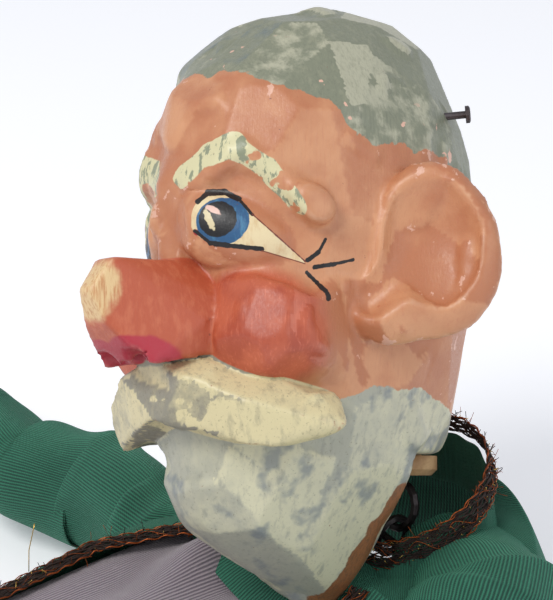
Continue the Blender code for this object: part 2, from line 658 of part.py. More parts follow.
def make_waist(chest, pelvis):
    """Two wire eyes in each block, hinged on one long pin through the waist."""
    waist = Vector((0, WAIST_Y, BODY_Z))
    place(rod("waist_pin", (-19, 0, 0), (19, 0, 0), PIN, IRON), waist)
    block_end = CHEST_TOP_Y - CHEST_LENGTH
    radius = PIN + WIRE + GAP
    for side, sign in SIDES.items():
        upper = (sign * 12, WAIST_Y, BODY_Z)
        shank = (sign * 12, block_end + 12, BODY_Z)
        screw_eye("waist_eye_upper_" + side, upper, (1, 0, 0), shank, radius, WIRE, IRON)
        boolean(chest, cutter("waist_hole_" + side, (sign * 12, block_end + 12 + GAP, BODY_Z),
                              (sign * 12, block_end - 10, BODY_Z), WIRE + GAP, None))
        lower_x = sign * 7.5
        eye = screw_eye("waist_eye_lower_" + side, (lower_x, 0, 0), (1, 0, 0), (lower_x, -20, 0), radius, WIRE, IRON)
        place(eye, waist)
        hole = cutter("pelvis_hole_" + side, (lower_x, -20 - GAP, 0), (lower_x, -5, 0), WIRE + GAP, None)
        place(hole, waist)
        boolean(pelvis, hole)


def make_leg(side, pelvis):
    sign = SIDES[side]
    direction = Vector((0, -1, 0))
    across = Vector((1, 0, 0))
    hip = Vector((sign * HIP_X, HIP_Y, BODY_Z))
    waist = Vector((0, WAIST_Y, BODY_Z))

    # the hip pin crosses a slot cut in the pelvis block; the thigh's tongue turns in it
    slot = box_cutter("hip_slot_" + side, (sign * HIP_X - FORK_SLOT / 2, HIP_Y - 30, -30),
                      (sign * HIP_X + FORK_SLOT / 2, HIP_Y + THIGH_RADIUS + 1, 60), None)
    boolean(pelvis, slot)
    pin_hole = cutter("hip_pin_hole_" + side, hip - across * 8, hip + across * 8, PIN + GAP, None)
    boolean(pelvis, pin_hole)
    place(rod("hip_pin_" + side, -across * 7, across * 7, PIN, IRON), hip)

    knee = hip + direction * THIGH
    thigh = limb("thigh_" + side, THIGH + THIGH_RADIUS * 0.8, THIGH_RADIUS * 0.85, THIGH_RADIUS, THIGH_RADIUS * 0.85,
                 direction, hip, WOOD, start=-THIGH_RADIUS * 0.75)
    cut_tongue(thigh, "thigh_" + side, direction, across, THIGH_RADIUS + 3, hip, THIGH_RADIUS)
    cut_fork(thigh, "knee_" + side, direction * THIGH, direction, across, THIGH_RADIUS + 1, hip)
    hinge_pin("knee_pin_" + side, knee, across, THIGH_RADIUS * 0.76)
    thigh_stations = [(20, TROUSER_END_RADIUS + 1), (THIGH * 0.5, TROUSER_RADIUS), (THIGH - KNEE_CLEAR, TROUSER_END_RADIUS)]
    place(garment_tube("thigh_trouser_" + side, [(d, r, r) for d, r in thigh_stations], direction, DARK), hip)
    string_eye("knee", side, direction, THIGH - 13, THIGH_RADIUS, thigh, hip)

    shin = limb("shin_" + side, SHIN, THIGH_RADIUS * 0.8, SHIN_RADIUS, SHIN_RADIUS * 0.75, direction, knee, WOOD,
                start=-THIGH_RADIUS * 0.75)
    cut_tongue(shin, "shin_" + side, direction, across, THIGH_RADIUS + 1.5, knee, SHIN_RADIUS)
    shin_stations = [(KNEE_CLEAR, TROUSER_END_RADIUS), (SHIN * 0.6, TROUSER_RADIUS), (SHIN - 7, TROUSER_RADIUS - 0.5)]
    place(garment_tube("shin_trouser_" + side, [(d, r, r) for d, r in shin_stations], direction, DARK), knee)

    # boot: heel on the floor, toe up, flat sole square to the leg
    bm = bmesh.new()
    rings = []
    heel = -BODY_Z + 1.0
    profile = ((0, 8.0, 9.0, heel + 9.0), (5, 9.0, 11.0, heel + 11.0), (9, 9.5, 16.5, heel + 16.5),
               (9 + BOOT_SOLE, 9.5, BOOT_LENGTH / 2, heel + BOOT_LENGTH / 2))
    for distance, half_side, half_up, middle in profile:
        rings.append(ring_of(bm, direction * distance + Vector((0, 0, middle)), (1, 0, 0), (0, 0, 1),
                             half_side, half_up, 16, 2.8))
    bridge(bm, rings)
    bm.faces.new(rings[0])
    bm.faces.new(rings[-1])
    boot = finish_object("boot_" + side, bm, LEATHER)
    place(boot, knee + direction * (SHIN - 6))
    socket = cutter("boot_socket_" + side, direction * -10, direction * (6 + GAP), SHIN_RADIUS * 0.95 + GAP, None)
    place(socket, knee + direction * (SHIN - 6))
    boolean(boot, socket)


def make_seat():
    """Seat of the trousers: a short tube round the pelvis."""
    seat = garment_tube("trouser_seat", [
        (7.0, PELVIS_HALF + 3.5, PELVIS_THICKNESS / 2 + 3.4), (14.0, PELVIS_HALF + 4.0, PELVIS_THICKNESS / 2 + 3.8),
        (21.0, PELVIS_HALF + 4.0, PELVIS_THICKNESS / 2 + 3.4)], (0, -1, 0), DARK, count=20, power=4.0)
    place(seat, (0, WAIST_Y, BODY_Z))


def clear_scene():
    for obj in list(bpy.data.objects):
        bpy.data.objects.remove(obj)


clear_scene()
GUIDE = make_material("guide", (0.5, 0.5, 0.5), 0.5)
WOOD = make_material("bare_wood", (0.50, 0.31, 0.16), 0.6)
PAINT = make_material("painted_wood", (0.72, 0.38, 0.24), 0.45)
SKIN = make_material("hand_paint", (0.72, 0.40, 0.27), 0.5)
GREEN = make_material("green_twill", (0.02, 0.13, 0.08), 0.85)
LAVENDER = make_material("lavender_twill", (0.40, 0.34, 0.38), 0.85)
DARK = make_material("trouser_cloth", (0.05, 0.045, 0.04), 0.9)
TINSEL = make_material("tinsel_braid", (0.18, 0.10, 0.05), 0.4, 0.7)
IRON = make_material("dark_iron", (0.12, 0.11, 0.10), 0.45, 1.0)
LEATHER = make_material("boot_paint", (0.06, 0.035, 0.02), 0.5)

chest_block = make_torso()
make_neck()
make_head()
pelvis_block = make_pelvis()
make_waist(chest_block, pelvis_block)
make_seat()
for name_of_side, arm_spread in (("left", LEFT_ARM_SPREAD), ("right", RIGHT_ARM_SPREAD)):
    make_arm(name_of_side, arm_spread)
    make_leg(name_of_side, pelvis_block)
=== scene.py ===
"""Looks for the string marionette of a bearded old man: carved and painted head, ribbed cloth, tinsel braid.

Lengths are in millimetres and turn into metres when an object is made. The head is worked out in its own
coordinates (left, forward, height): left of the face's middle plane, forward of the skull's axis, above
the neck.
"""

import json
import math

import bmesh
import bpy
import numpy as np
from mathutils import Matrix, Vector
from mathutils.kdtree import KDTree


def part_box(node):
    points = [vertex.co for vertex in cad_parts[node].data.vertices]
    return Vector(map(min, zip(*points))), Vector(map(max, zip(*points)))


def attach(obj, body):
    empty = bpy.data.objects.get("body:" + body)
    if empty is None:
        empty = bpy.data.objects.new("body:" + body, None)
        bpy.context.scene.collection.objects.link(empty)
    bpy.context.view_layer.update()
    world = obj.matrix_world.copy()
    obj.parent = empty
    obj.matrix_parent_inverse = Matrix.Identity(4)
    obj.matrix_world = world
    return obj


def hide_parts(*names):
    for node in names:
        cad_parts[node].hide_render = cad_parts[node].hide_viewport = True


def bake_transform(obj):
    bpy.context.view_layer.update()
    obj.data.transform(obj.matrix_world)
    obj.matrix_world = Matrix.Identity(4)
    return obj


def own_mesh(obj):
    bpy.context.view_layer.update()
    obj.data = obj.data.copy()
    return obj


MM = 0.001
AXIS_FORWARD = 32.0          # skull axis in front of the neck pivot
HEAD_GRID = 0.9              # spacing of the grid that the head is carved on
CONCAVE_LIMIT = 0.12         # a knife cut further over a point than this belongs to another side of a hollow
STEP_LIMIT, STEP_ROUNDS = 0.13, 8     # a jump between cuts over this is worn down, so many times
CELL = 4.0                   # cells in which cuts look for their neighbours
RIB_PITCH = 0.75             # ribs of the twill on its flat pattern, which a cloth may stretch or squeeze
YARN_PITCH = 0.5             # twist of the yarn in a rib
BRAID_WIDTH = 4.6

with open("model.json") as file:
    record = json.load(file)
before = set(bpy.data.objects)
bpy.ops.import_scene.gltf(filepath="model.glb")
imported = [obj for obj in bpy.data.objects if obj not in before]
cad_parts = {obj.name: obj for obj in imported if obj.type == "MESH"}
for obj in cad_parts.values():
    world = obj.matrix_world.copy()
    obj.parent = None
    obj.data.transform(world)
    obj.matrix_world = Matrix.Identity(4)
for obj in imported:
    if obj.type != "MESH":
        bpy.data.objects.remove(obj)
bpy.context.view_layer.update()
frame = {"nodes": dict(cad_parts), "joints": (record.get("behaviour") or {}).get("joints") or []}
JOINTS = {joint["name"]: joint for joint in frame["joints"]}


# ---------------------------------------------------------------- small helpers
def unit(vector):
    vector = np.asarray(vector, dtype=float)
    return vector / np.linalg.norm(vector)


def smooth_min(a, b, k):
    h = np.clip(0.5 + 0.5 * (b - a) / k, 0.0, 1.0)
    return b + (a - b) * h - k * h * (1.0 - h)


def smooth_max(a, b, k):
    return -smooth_min(-a, -b, k)


def mesh_object(name, points, faces, material, smooth=True):
    """A mesh object from points in metres."""
    mesh = bpy.data.meshes.new(name)
    mesh.from_pydata([tuple(p) for p in points], [], [tuple(f) for f in faces])
    mesh.update()
    mesh.materials.append(material)
    if smooth:
        mesh.shade_smooth()
    obj = bpy.data.objects.new(name, mesh)
    bpy.context.scene.collection.objects.link(obj)
    return obj


def float_attribute(mesh, name, values):
    attribute = mesh.attributes.new(name, "FLOAT", "POINT")
    attribute.data.foreach_set("value", np.asarray(values, dtype=np.float32).ravel())


def vector_attribute(mesh, name, values):
    attribute = mesh.attributes.new(name, "FLOAT_VECTOR", "POINT")
    attribute.data.foreach_set("vector", np.asarray(values, dtype=np.float32).ravel())


# ---------------------------------------------------------------- shader helpers
class Shader:
    """A node material built by short calls; every colour is linear RGB."""

    def __init__(self, name, roughness=0.5, metallic=0.0):
        self.material = bpy.data.materials.new(name)
        self.material.use_nodes = True
        self.tree = self.material.node_tree
        self.bsdf = self.tree.nodes["Principled BSDF"]
        self.bsdf.inputs["Roughness"].default_value = roughness
        self.bsdf.inputs["Metallic"].default_value = metallic
        self.bump = None

    def node(self, kind, **settings):
        node = self.tree.nodes.new(kind)
        for key, value in settings.items():
            setattr(node, key, value)
        return node

    def put(self, socket, value):
        if isinstance(value, bpy.types.NodeSocket):
            self.tree.links.new(value, socket)
        elif isinstance(value, tuple) and socket.type == "RGBA":
            socket.default_value = (*value[:3], 1.0)
        else:
            socket.default_value = value

    def math(self, operation, a, b=0.0, c=0.0):
        node = self.node("ShaderNodeMath", operation=operation)
        for socket, value in zip(node.inputs, (a, b, c)):
            self.put(socket, value)
        return node.outputs[0]

    def plus(self, a, b):
        return self.math("ADD", a, b)

    def minus(self, a, b):
        return self.math("SUBTRACT", a, b)

    def times(self, a, b):
        return self.math("MULTIPLY", a, b)

    def attribute(self, name, output="Fac"):
        return self.node("ShaderNodeAttribute", attribute_name=name).outputs[output]

    def noise(self, vector, scale, detail=3.0, rough=0.55, stretch=(1, 1, 1), seed=0.0):
        mapping = self.node("ShaderNodeMapping")
        self.put(mapping.inputs["Vector"], vector)
        mapping.inputs["Scale"].default_value = stretch
        mapping.inputs["Location"].default_value = (seed, seed * 1.7, seed * 0.6)
        node = self.node("ShaderNodeTexNoise")
        self.put(node.inputs["Vector"], mapping.outputs[0])
        node.inputs["Scale"].default_value = scale
        node.inputs["Detail"].default_value = detail
        node.inputs["Roughness"].default_value = rough
        return node.outputs["Fac"]

    def ramp(self, value, low, high, out_low=0.0, out_high=1.0):
        node = self.node("ShaderNodeMapRange", interpolation_type="SMOOTHSTEP")
        for socket, item in zip(node.inputs, (value, low, high, out_low, out_high)):
            self.put(socket, item)
        return node.outputs[0]

    def mix(self, factor, a, b, blend="MIX"):
        node = self.node("ShaderNodeMix", data_type="RGBA", blend_type=blend, clamp_result=True)
        self.put(node.inputs[0], factor)
        self.put(node.inputs[6], a)
        self.put(node.inputs[7], b)
        return node.outputs[2]

    def add_bump(self, height, distance, strength=1.0):
        node = self.node("ShaderNodeBump")
        node.inputs["Strength"].default_value = strength
        node.inputs["Distance"].default_value = distance
        self.put(node.inputs["Height"], height)
        if self.bump is not None:
            self.put(node.inputs["Normal"], self.bump)
        self.bump = node.outputs[0]
        self.put(self.bsdf.inputs["Normal"], self.bump)

    def segment(self, uv, start, end, half_width, ragged=None):
        """1 inside a painted stroke from start to end on the plane of uv."""
        (ax, ay), (bx, by) = start, end
        length2 = (bx - ax) ** 2 + (by - ay) ** 2
        split = self.node("ShaderNodeSeparateXYZ")
        self.put(split.inputs[0], uv)
        dx, dy = self.minus(split.outputs[0], ax), self.minus(split.outputs[1], ay)
        along = self.math("DIVIDE", self.plus(self.times(dx, bx - ax),
                                              self.times(dy, by - ay)), length2)
        along = self.math("MINIMUM", self.math("MAXIMUM", along, 0.0), 1.0)
        ex = self.minus(dx, self.times(along, bx - ax))
        ey = self.minus(dy, self.times(along, by - ay))
        distance = self.math("SQRT", self.plus(self.times(ex, ex), self.times(ey, ey)))
        if ragged is not None:
            distance = self.plus(distance, ragged)
        return self.ramp(distance, half_width + 0.08, half_width - 0.08)

    def disc(self, uv, center, radii, turn=0.0, ragged=None):
        """Signed distance (about millimetres, negative inside) to an ellipse on the plane of uv."""
        split = self.node("ShaderNodeSeparateXYZ")
        self.put(split.inputs[0], uv)
        dx = self.minus(split.outputs[0], center[0])
        dy = self.minus(split.outputs[1], center[1])
        c, s = math.cos(turn), math.sin(turn)
        x = self.math("DIVIDE", self.plus(self.times(dx, c), self.times(dy, s)), radii[0])
        y = self.math("DIVIDE", self.minus(self.times(dy, c),
                                          self.times(dx, s)), radii[1])
        radius = self.math("SQRT", self.plus(self.times(x, x), self.times(y, y)))
        distance = self.times(self.minus(radius, 1.0), min(radii))
        return distance if ragged is None else self.plus(distance, ragged)


# ---------------------------------------------------------------- carving the head
class Shapes:
    """Signed distances in head coordinates, negative inside, at given points."""

    def __init__(self, left, forward, height):
        self.left, self.forward, self.height = left, forward, height
        self.shape = np.broadcast(left, forward, height).shape

    def ellipsoid(self, center, radii, across=(1, 0, 0), up=(0, 0, 1)):
        """Ellipsoid with its first radius along across, its third near up."""
        across = unit(across)
        depth = unit(np.cross(up, across))
        up = np.cross(across, depth)
        x, y, z = self.left - center[0], self.forward - center[1], self.height - center[2]
        parts = [(x * axis[0] + y * axis[1] + z * axis[2]) / radius
                 for axis, radius in zip((across, depth, up), radii)]
        inner = np.sqrt(sum(part * part for part in parts))
        outer = np.sqrt(sum((part / radius) ** 2 for part, radius in zip(parts, radii))) + 1e-6
        return (inner * (inner - 1.0) / outer).astype(np.float32)

    def capsule(self, start, end, start_radius, end_radius):
        start, end = np.array(start, dtype=float), np.array(end, dtype=float)
        way = end - start
        x, y, z = self.left - start[0], self.forward - start[1], self.height - start[2]
        along = np.clip((x * way[0] + y * way[1] + z * way[2]) / way.dot(way), 0.0, 1.0)
        distance = np.sqrt((x - along * way[0]) ** 2 + (y - along * way[1]) ** 2 + (z - along * way[2]) ** 2)
        return (distance - (start_radius + (end_radius - start_radius) * along)).astype(np.float32)

    def hull(self, points):
        """Distance to the planes round a cloud of points."""
        bm = bmesh.new()
        for point in points:
            bm.verts.new(point)
        found = bmesh.ops.convex_hull(bm, input=bm.verts)
        bmesh.ops.recalc_face_normals(bm, faces=bm.faces)
        middle = np.mean(np.array(points, dtype=float), axis=0)
        value = np.full(self.shape, -1e3, dtype=np.float32)
        for face in bm.faces:
            normal, corner = np.array(face.normal), np.array(face.verts[0].co)
            if normal.dot(middle - corner) > 0:
                normal = -normal
            plane = (self.left - corner[0]) * normal[0] + (self.forward - corner[1]) * normal[1] \
                + (self.height - corner[2]) * normal[2]
            value = np.maximum(value, plane)
        bm.free()
        return value

    def loft(self, outline, power):
        """Sections (height, half width, reach forward, reach back), rounded between the given heights."""
        heights = np.array([row[0] for row in outline])
        z = self.height.ravel()
        kernel = np.hanning(9)
        kernel /= kernel.sum()

        def along(column):
            values = np.interp(z, heights, [row[column] for row in outline])
            padded = np.pad(values, 4, mode="edge")
            return np.convolve(padded, kernel, mode="valid")

        wide, front, back = along(1), along(2), along(3)
        middle, deep = (front - back) / 2, (front + back) / 2
        x, y = np.abs(self.left) / wide, np.abs(self.forward - middle) / deep
        side = ((x ** power + y ** power) ** (1 / power) - 1.0) * np.minimum(wide, deep)
        caps = np.maximum(heights[0] - self.height, self.height - heights[-1])
        return np.maximum(side, caps).astype(np.float32)


class Field(Shapes):
    """A signed distance field on a grid in head coordinates; negative is wood."""

    def __init__(self, low, high, step):
        self.low, self.step = np.array(low, dtype=float), step
        axes = [np.arange(a, b + step, step, dtype=np.float32) for a, b in zip(low, high)]
        super().__init__(*np.meshgrid(*axes, indexing="ij", sparse=True))
        self.value = np.full(self.shape, 1e3, dtype=np.float32)

    def add(self, shape, k=0.0):
        self.value = smooth_min(self.value, shape, k) if k else np.minimum(self.value, shape)

    def cut(self, shape, k=0.0):
        self.value = smooth_max(self.value, -shape, k) if k else np.maximum(self.value, -shape)

    def surface(self):
        """Surface nets: one point in each crossed cell and one quad for each crossed grid edge."""
        v = self.value
        nx, ny, nz = (n - 1 for n in v.shape)
        corner = {(i, j, k): v[i:nx + i, j:ny + j, k:nz + k] for i in (0, 1) for j in (0, 1) for k in (0, 1)}
        count = sum((value < 0).astype(np.int8) for value in corner.values())
        crossed = (count > 0) & (count < 8)
        cells = np.argwhere(crossed)
        at = {key: value[crossed] for key, value in corner.items()}
        total, hits = np.zeros((len(cells), 3)), np.zeros(len(cells))
        for key in at:
            for axis in range(3):
                if key[axis]:
                    continue
                other = tuple(1 if n == axis else key[n] for n in range(3))
                a, b = at[key], at[other]
                mixed = (a < 0) != (b < 0)
                share = np.where(mixed, a / np.where(mixed, a - b, 1.0), 0.0)
                point = np.tile(np.array(key, dtype=float), (len(cells), 1))
                point[:, axis] = share
                total += point * mixed[:, None]
                hits += mixed
        points = self.low + (cells + total / hits[:, None]) * self.step
        index = np.full(crossed.shape, -1, dtype=np.int64)
        index[crossed] = np.arange(len(cells))
        quads = []
        for axis in range(3):
            u, w = (axis + 1) % 3, (axis + 2) % 3
            near = [slice(1, -1)] * 3
            far = [slice(1, -1)] * 3
            near[axis], far[axis] = slice(0, -1), slice(1, None)
            a, b = v[tuple(near)] < 0, v[tuple(far)] < 0
            for flip, mask in ((False, a & ~b), (True, ~a & b)):
                spot = np.argwhere(mask)
                spot[:, u] += 1
                spot[:, w] += 1
                shift = np.zeros(3, dtype=int)
                ring = []
                for du, dw in ((0, 0), (-1, 0), (-1, -1), (0, -1)):
                    shift[:] = 0
                    shift[u], shift[w] = du, dw
                    cell = spot + shift
                    ring.append(index[cell[:, 0], cell[:, 1], cell[:, 2]])
                quad = np.stack(ring, axis=1)
                quads.append(quad[:, ::-1] if flip else quad)
        return points, np.concatenate(quads)


def vertex_normals(points, quads):
    a, b, c, d = (points[quads[:, n]] for n in range(4))
    cross = np.cross(c - a, d - b)
    normals = np.zeros_like(points)
    for n in range(4):
        np.add.at(normals, quads[:, n], cross)
    return normals / (np.linalg.norm(normals, axis=1)[:, None] + 1e-9)


def neighbour_mean(values, quads):
    """Each point's mean over the points that share an edge with it."""
    total, count = np.zeros_like(values), np.zeros(len(values))
    for n in range(4):
        np.add.at(total, quads[:, n], values[quads[:, (n + 1) % 4]] + values[quads[:, (n + 3) % 4]])
        np.add.at(count, quads[:, n], 2)
    return total / count[:, None]


def relax(points, quads, rounds, share=0.5):
    """Moves each point towards the middle of its neighbours."""
    for _ in range(rounds):
        points = points + (neighbour_mean(points, quads) - points) * share
    return points


def knife_facets(points, quads, spacing, depth, strength, seed):
    """Flat knife cuts: each point moves onto the outermost tangent plane of the cuts near it."""
    rng = np.random.default_rng(seed)
    normals = vertex_normals(relax(points, quads, 6), quads)
    chosen, taken = [], {}
    for i in rng.permutation(len(points)):
        p, size = points[i], spacing[i]
        key = tuple(np.floor(p / CELL).astype(int))
        reach = range(-int(math.ceil(size / CELL)), int(math.ceil(size / CELL)) + 1)
        nearby = (other for dx in reach for dy in reach for dz in reach
                  for other in taken.get((key[0] + dx, key[1] + dy, key[2] + dz), ()))
        if not any(np.sum((points[other] - p) ** 2) < size * size and normals[other].dot(normals[i]) > 0.2
                   for other in nearby):
            chosen.append(i)
            taken.setdefault(key, []).append(i)
    tree = KDTree(len(chosen))
    tilt = rng.normal(0.0, 0.045, (len(chosen), 3))
    planes = []
    for n, i in enumerate(chosen):
        tree.insert(points[i], n)
        planes.append(unit(normals[i] + tilt[n]))
    tree.balance()
    moved = points.copy()
    facet = np.zeros(len(points))
    for i, p in enumerate(points):
        if strength[i] <= 0:
            continue
        best, best_n = -1e9, 0
        for _, n, distance in tree.find_n(p, 6):
            if distance > spacing[i] * 1.5 or planes[n].dot(normals[i]) < 0.5:
                continue
            above = planes[n].dot(p - points[chosen[n]])
            if above > best and (above < CONCAVE_LIMIT or best < -1e8):
                best, best_n = above, n
        if best > -1e8:
            moved[i] = p - normals[i] * np.clip(best, -depth, depth * 0.8) * strength[i]
            facet[i] = best_n
    # a step between two cuts that don't meet is worn down
    shift = moved - points
    for _ in range(STEP_ROUNDS):
        mean = neighbour_mean(shift, quads)
        jump = np.linalg.norm(shift - mean, axis=1) > STEP_LIMIT
        shift[jump] = mean[jump]
    return points + shift, facet


# ---------------------------------------------------------------- head
# Face lengths in (left, forward, height). An eye's plane runs outwards along EYE_ACROSS.
EYE = (17.0, 41.1, 75.0)
EYE_SCALE = 1.09             # strokes round the eye are drawn on a plane this much larger
EYE_ACROSS = unit((0.755, -0.656, 0.0))
EYE_OUT = unit((0.656, 0.755, 0.0))
EAR_MIDDLE = (45.0, 1.2, 69.5)
EAR_ACROSS = unit((0.75, -0.66, 0.10))
BORE_RADIUS, BORE_TOP = 6.4, 47.5
RECESS_TOP, RECESS_BACK = 22.8, -15.8
HEAD_OUTLINE = [
    (-13.4, 2.5, 3.0, 7.0), (-8.0, 7.5, 10.0, 12.0), (-2.0, 12.0, 21.0, 16.0), (6.0, 17.0, 34.0, 20.0),
    (18.0, 23.0, 39.0, 34.0), (30.0, 27.5, 41.0, 40.0), (46.0, 31.5, 40.0, 42.0), (62.0, 34.5, 39.0, 43.5),
    (80.0, 36.0, 41.0, 43.0), (94.0, 36.5, 43.0, 42.0), (101.0, 35.6, 43.0, 40.0), (106.0, 34.0, 41.0, 38.5),
    (112.0, 31.4, 37.5, 36.0), (118.0, 27.8, 31.5, 34.0), (124.0, 24.5, 25.3, 32.3), (130.0, 17.4, 14.2, 27.0),
    (132.5, 12.0, 6.5, 23.0), (134.0, 6.0, 0.5, 16.0),
]
BRIDGE = [(3.6, 44.5, 84), (4.6, 44.5, 64), (7.5, 33, 86), (8.0, 33, 62), (3.0, 43.0, 91)]
NOSE = [(4.2, 62.4, 66.4), (2.6, 67.6, 58.8), (4.5, 64.0, 51.0), (5.5, 59.8, 46.3), (9.5, 54.9, 41.8),
        (14.2, 43.6, 52.3), (13.0, 39.0, 45.2), (8.2, 44.7, 63.1), (14.0, 36.0, 57.0), (6.0, 33.0, 67.0)]
NOSE_TIP = (0.0, 67.0, 59.0)
NOSTRIL = (5.4, 56.5, 43.0)
MOUSTACHE = [(-1, 48.5, 44), (-1, 48.0, 30), (-1, 28, 44), (10, 40.5, 45.0), (12, 48.5, 40), (22, 32.3, 38.3),
             (33, 26.4, 35.8), (39, 23.1, 29.1), (25, 41.5, 34), (34, 32.0, 30.5), (24, 39.1, 23.6),
             (28, 34.6, 23.3), (36, 27.0, 25.8), (6, 46.5, 28.5), (26, 15, 27), (30, 17, 35), (-1, 28, 28)]
BROW = [(6.5, 45.2, 86.6), (13.0, 43.5, 91.0), (20.0, 39.8, 92.4), (26.0, 35.5, 86.5), (31.0, 31.0, 77.5)]


def side_points(points, s):
    return [(s * x, y, z) for x, y, z in points]


def side_of(point, s):
    return (s * point[0], point[1], point[2])


def carve_head():
    """The head's surface in head coordinates, with its faces."""
    field = Field((-66, -49, -17), (66, 80, 139), HEAD_GRID)
    field.add(field.loft(HEAD_OUTLINE, 2.25))
    for s in (1, -1):
        across = side_of(EYE_ACROSS, s)
        out = np.array(side_of(EYE_OUT, s))
        eye = np.array(side_of(EYE, s))
        # cheek and brow ridge
        field.add(field.ellipsoid((s * 18.5, 26.5, 51.0), (15.0, 15.0, 14.0)), 5.0)
        field.add(field.capsule((s * 7, 39.5, 86.5), (s * 20, 34.5, 92.0), 5.0, 5.4), 3.0)
        field.add(field.capsule((s * 20, 34.5, 92.0), (s * 31, 25.5, 78.0), 5.4, 4.0), 3.0)
        # groove over the brow, socket, eyeball and the deep inner corner
        field.cut(field.capsule((s * 6, 49.5, 95), (s * 20, 44.5, 103.0), 3.6, 4.0), 2.0)
        field.cut(field.capsule((s * 20, 44.5, 103.0), (s * 36, 28.5, 86.0), 4.0, 2.6), 2.0)
        slant = np.array(across) + np.array((0, 0, -0.36))
        socket = eye + out * 6.5 + np.array((0, 0, -2.0))
        field.cut(field.ellipsoid(socket, (18.5, 8.5, 8.6), across=slant), 1.2)
        eyeball = eye - out * 6.6 + np.array((s * 1.5, -1.5, -1.5))
        field.add(field.ellipsoid(eyeball, (15.5, 8.0, 9.0), across=slant), 0.6)
        field.cut(field.capsule((s * 6.8, 46.5, 81), (s * 7.6, 45.5, 64.5), 1.5, 2.2), 0.8)
        # ear: a thick plate, hollowed from the front
        ear = np.array(side_of(EAR_MIDDLE, s))
        ear_across = side_of(EAR_ACROSS, s)
        facing = np.array(side_of(unit((0.66, 0.75, 0.0)), s))
        plate = field.ellipsoid(ear - facing * 2.0, (15.0, 6.0, 20.0), across=ear_across)
        lobe = field.ellipsoid(ear + np.array((s * -8.0, 6.0, -13.0)), (9.0, 5.0, 8.5), across=ear_across)
        root = field.hull([(s * 28, 6, 89), (s * 30, 11, 56), (s * 28, -16, 82), (s * 30, -14, 58),
                           (s * 44, -6, 84), (s * 43, -7, 60), (s * 46, -3, 72)])
        shape = smooth_min(smooth_min(plate, lobe, 5.0), root, 4.0)
        bowl = field.ellipsoid(ear + facing * 3.2 + np.array((s * 0.3, 0, 1.2)), (11.4, 7.6, 15.4),
                               across=ear_across)
        slot = field.capsule(ear + facing * 6.0 + np.array((s * 1.0, 0, 4.0)),
                             ear + facing * 5.5 + np.array((s * -11.0, 8.0, -11.5)), 7.5, 4.6)
        field.add(shape, 2.0)
        field.cut(smooth_min(bowl, slot, 3.0), 1.0)
    # bridge and wedge of the nose
    field.add(field.hull(side_points(BRIDGE, 1) + side_points(BRIDGE, -1)), 1.5)
    field.add(field.hull(side_points(NOSE, 1) + side_points(NOSE, -1)), 0.4)
    for s in (1, -1):
        field.cut(field.ellipsoid(side_of(NOSTRIL, s), (3.0, 5.5, 2.6)), 0.6)
        # moustache wing with its flat underside
        field.cut(field.capsule((0, 49, 20.5), (s * 30, 33, 18.0), 3.0, 3.0), 3.0)
        field.add(field.hull(side_points(MOUSTACHE, s)), 0.5)
    field.cut(field.capsule((0, 52.5, 45), (0, 52.0, 28), 3.0, 3.4), 1.0)
    # flat and bore for the neck
    recess = np.maximum(below(field.height, RECESS_TOP), below(field.forward, RECESS_BACK))
    field.cut(recess)
    radial = np.sqrt(field.left ** 2 + (field.forward + AXIS_FORWARD) ** 2) - BORE_RADIUS
    field.cut(np.maximum(radial, field.height - BORE_TOP))
    return field.surface()


def below(coordinate, limit):
    """Negative where a coordinate is below a limit."""
    return (coordinate - limit).astype(np.float32)


FACET = 12.5                 # usual distance between knife cuts
FACE_SKEW = 5.0              # the carver set the face's right half this far back


def ease(value):
    value = np.clip(value, 0.0, 1.0)
    return value * value * (3.0 - 2.0 * value)


def hair_line(angle):
    """Height of the painted hairline round the head; the angle is in degrees from the face."""
    return np.interp(angle, (0, 20, 42, 57, 66, 111, 118, 134, 180), (112, 111, 106, 104, 95, 93, 90, 66, 60))


def beard_line(angle):
    return np.interp(angle, (0, 60, 80, 110, 139, 180), (35, 35, 38, 38, 34, 30))


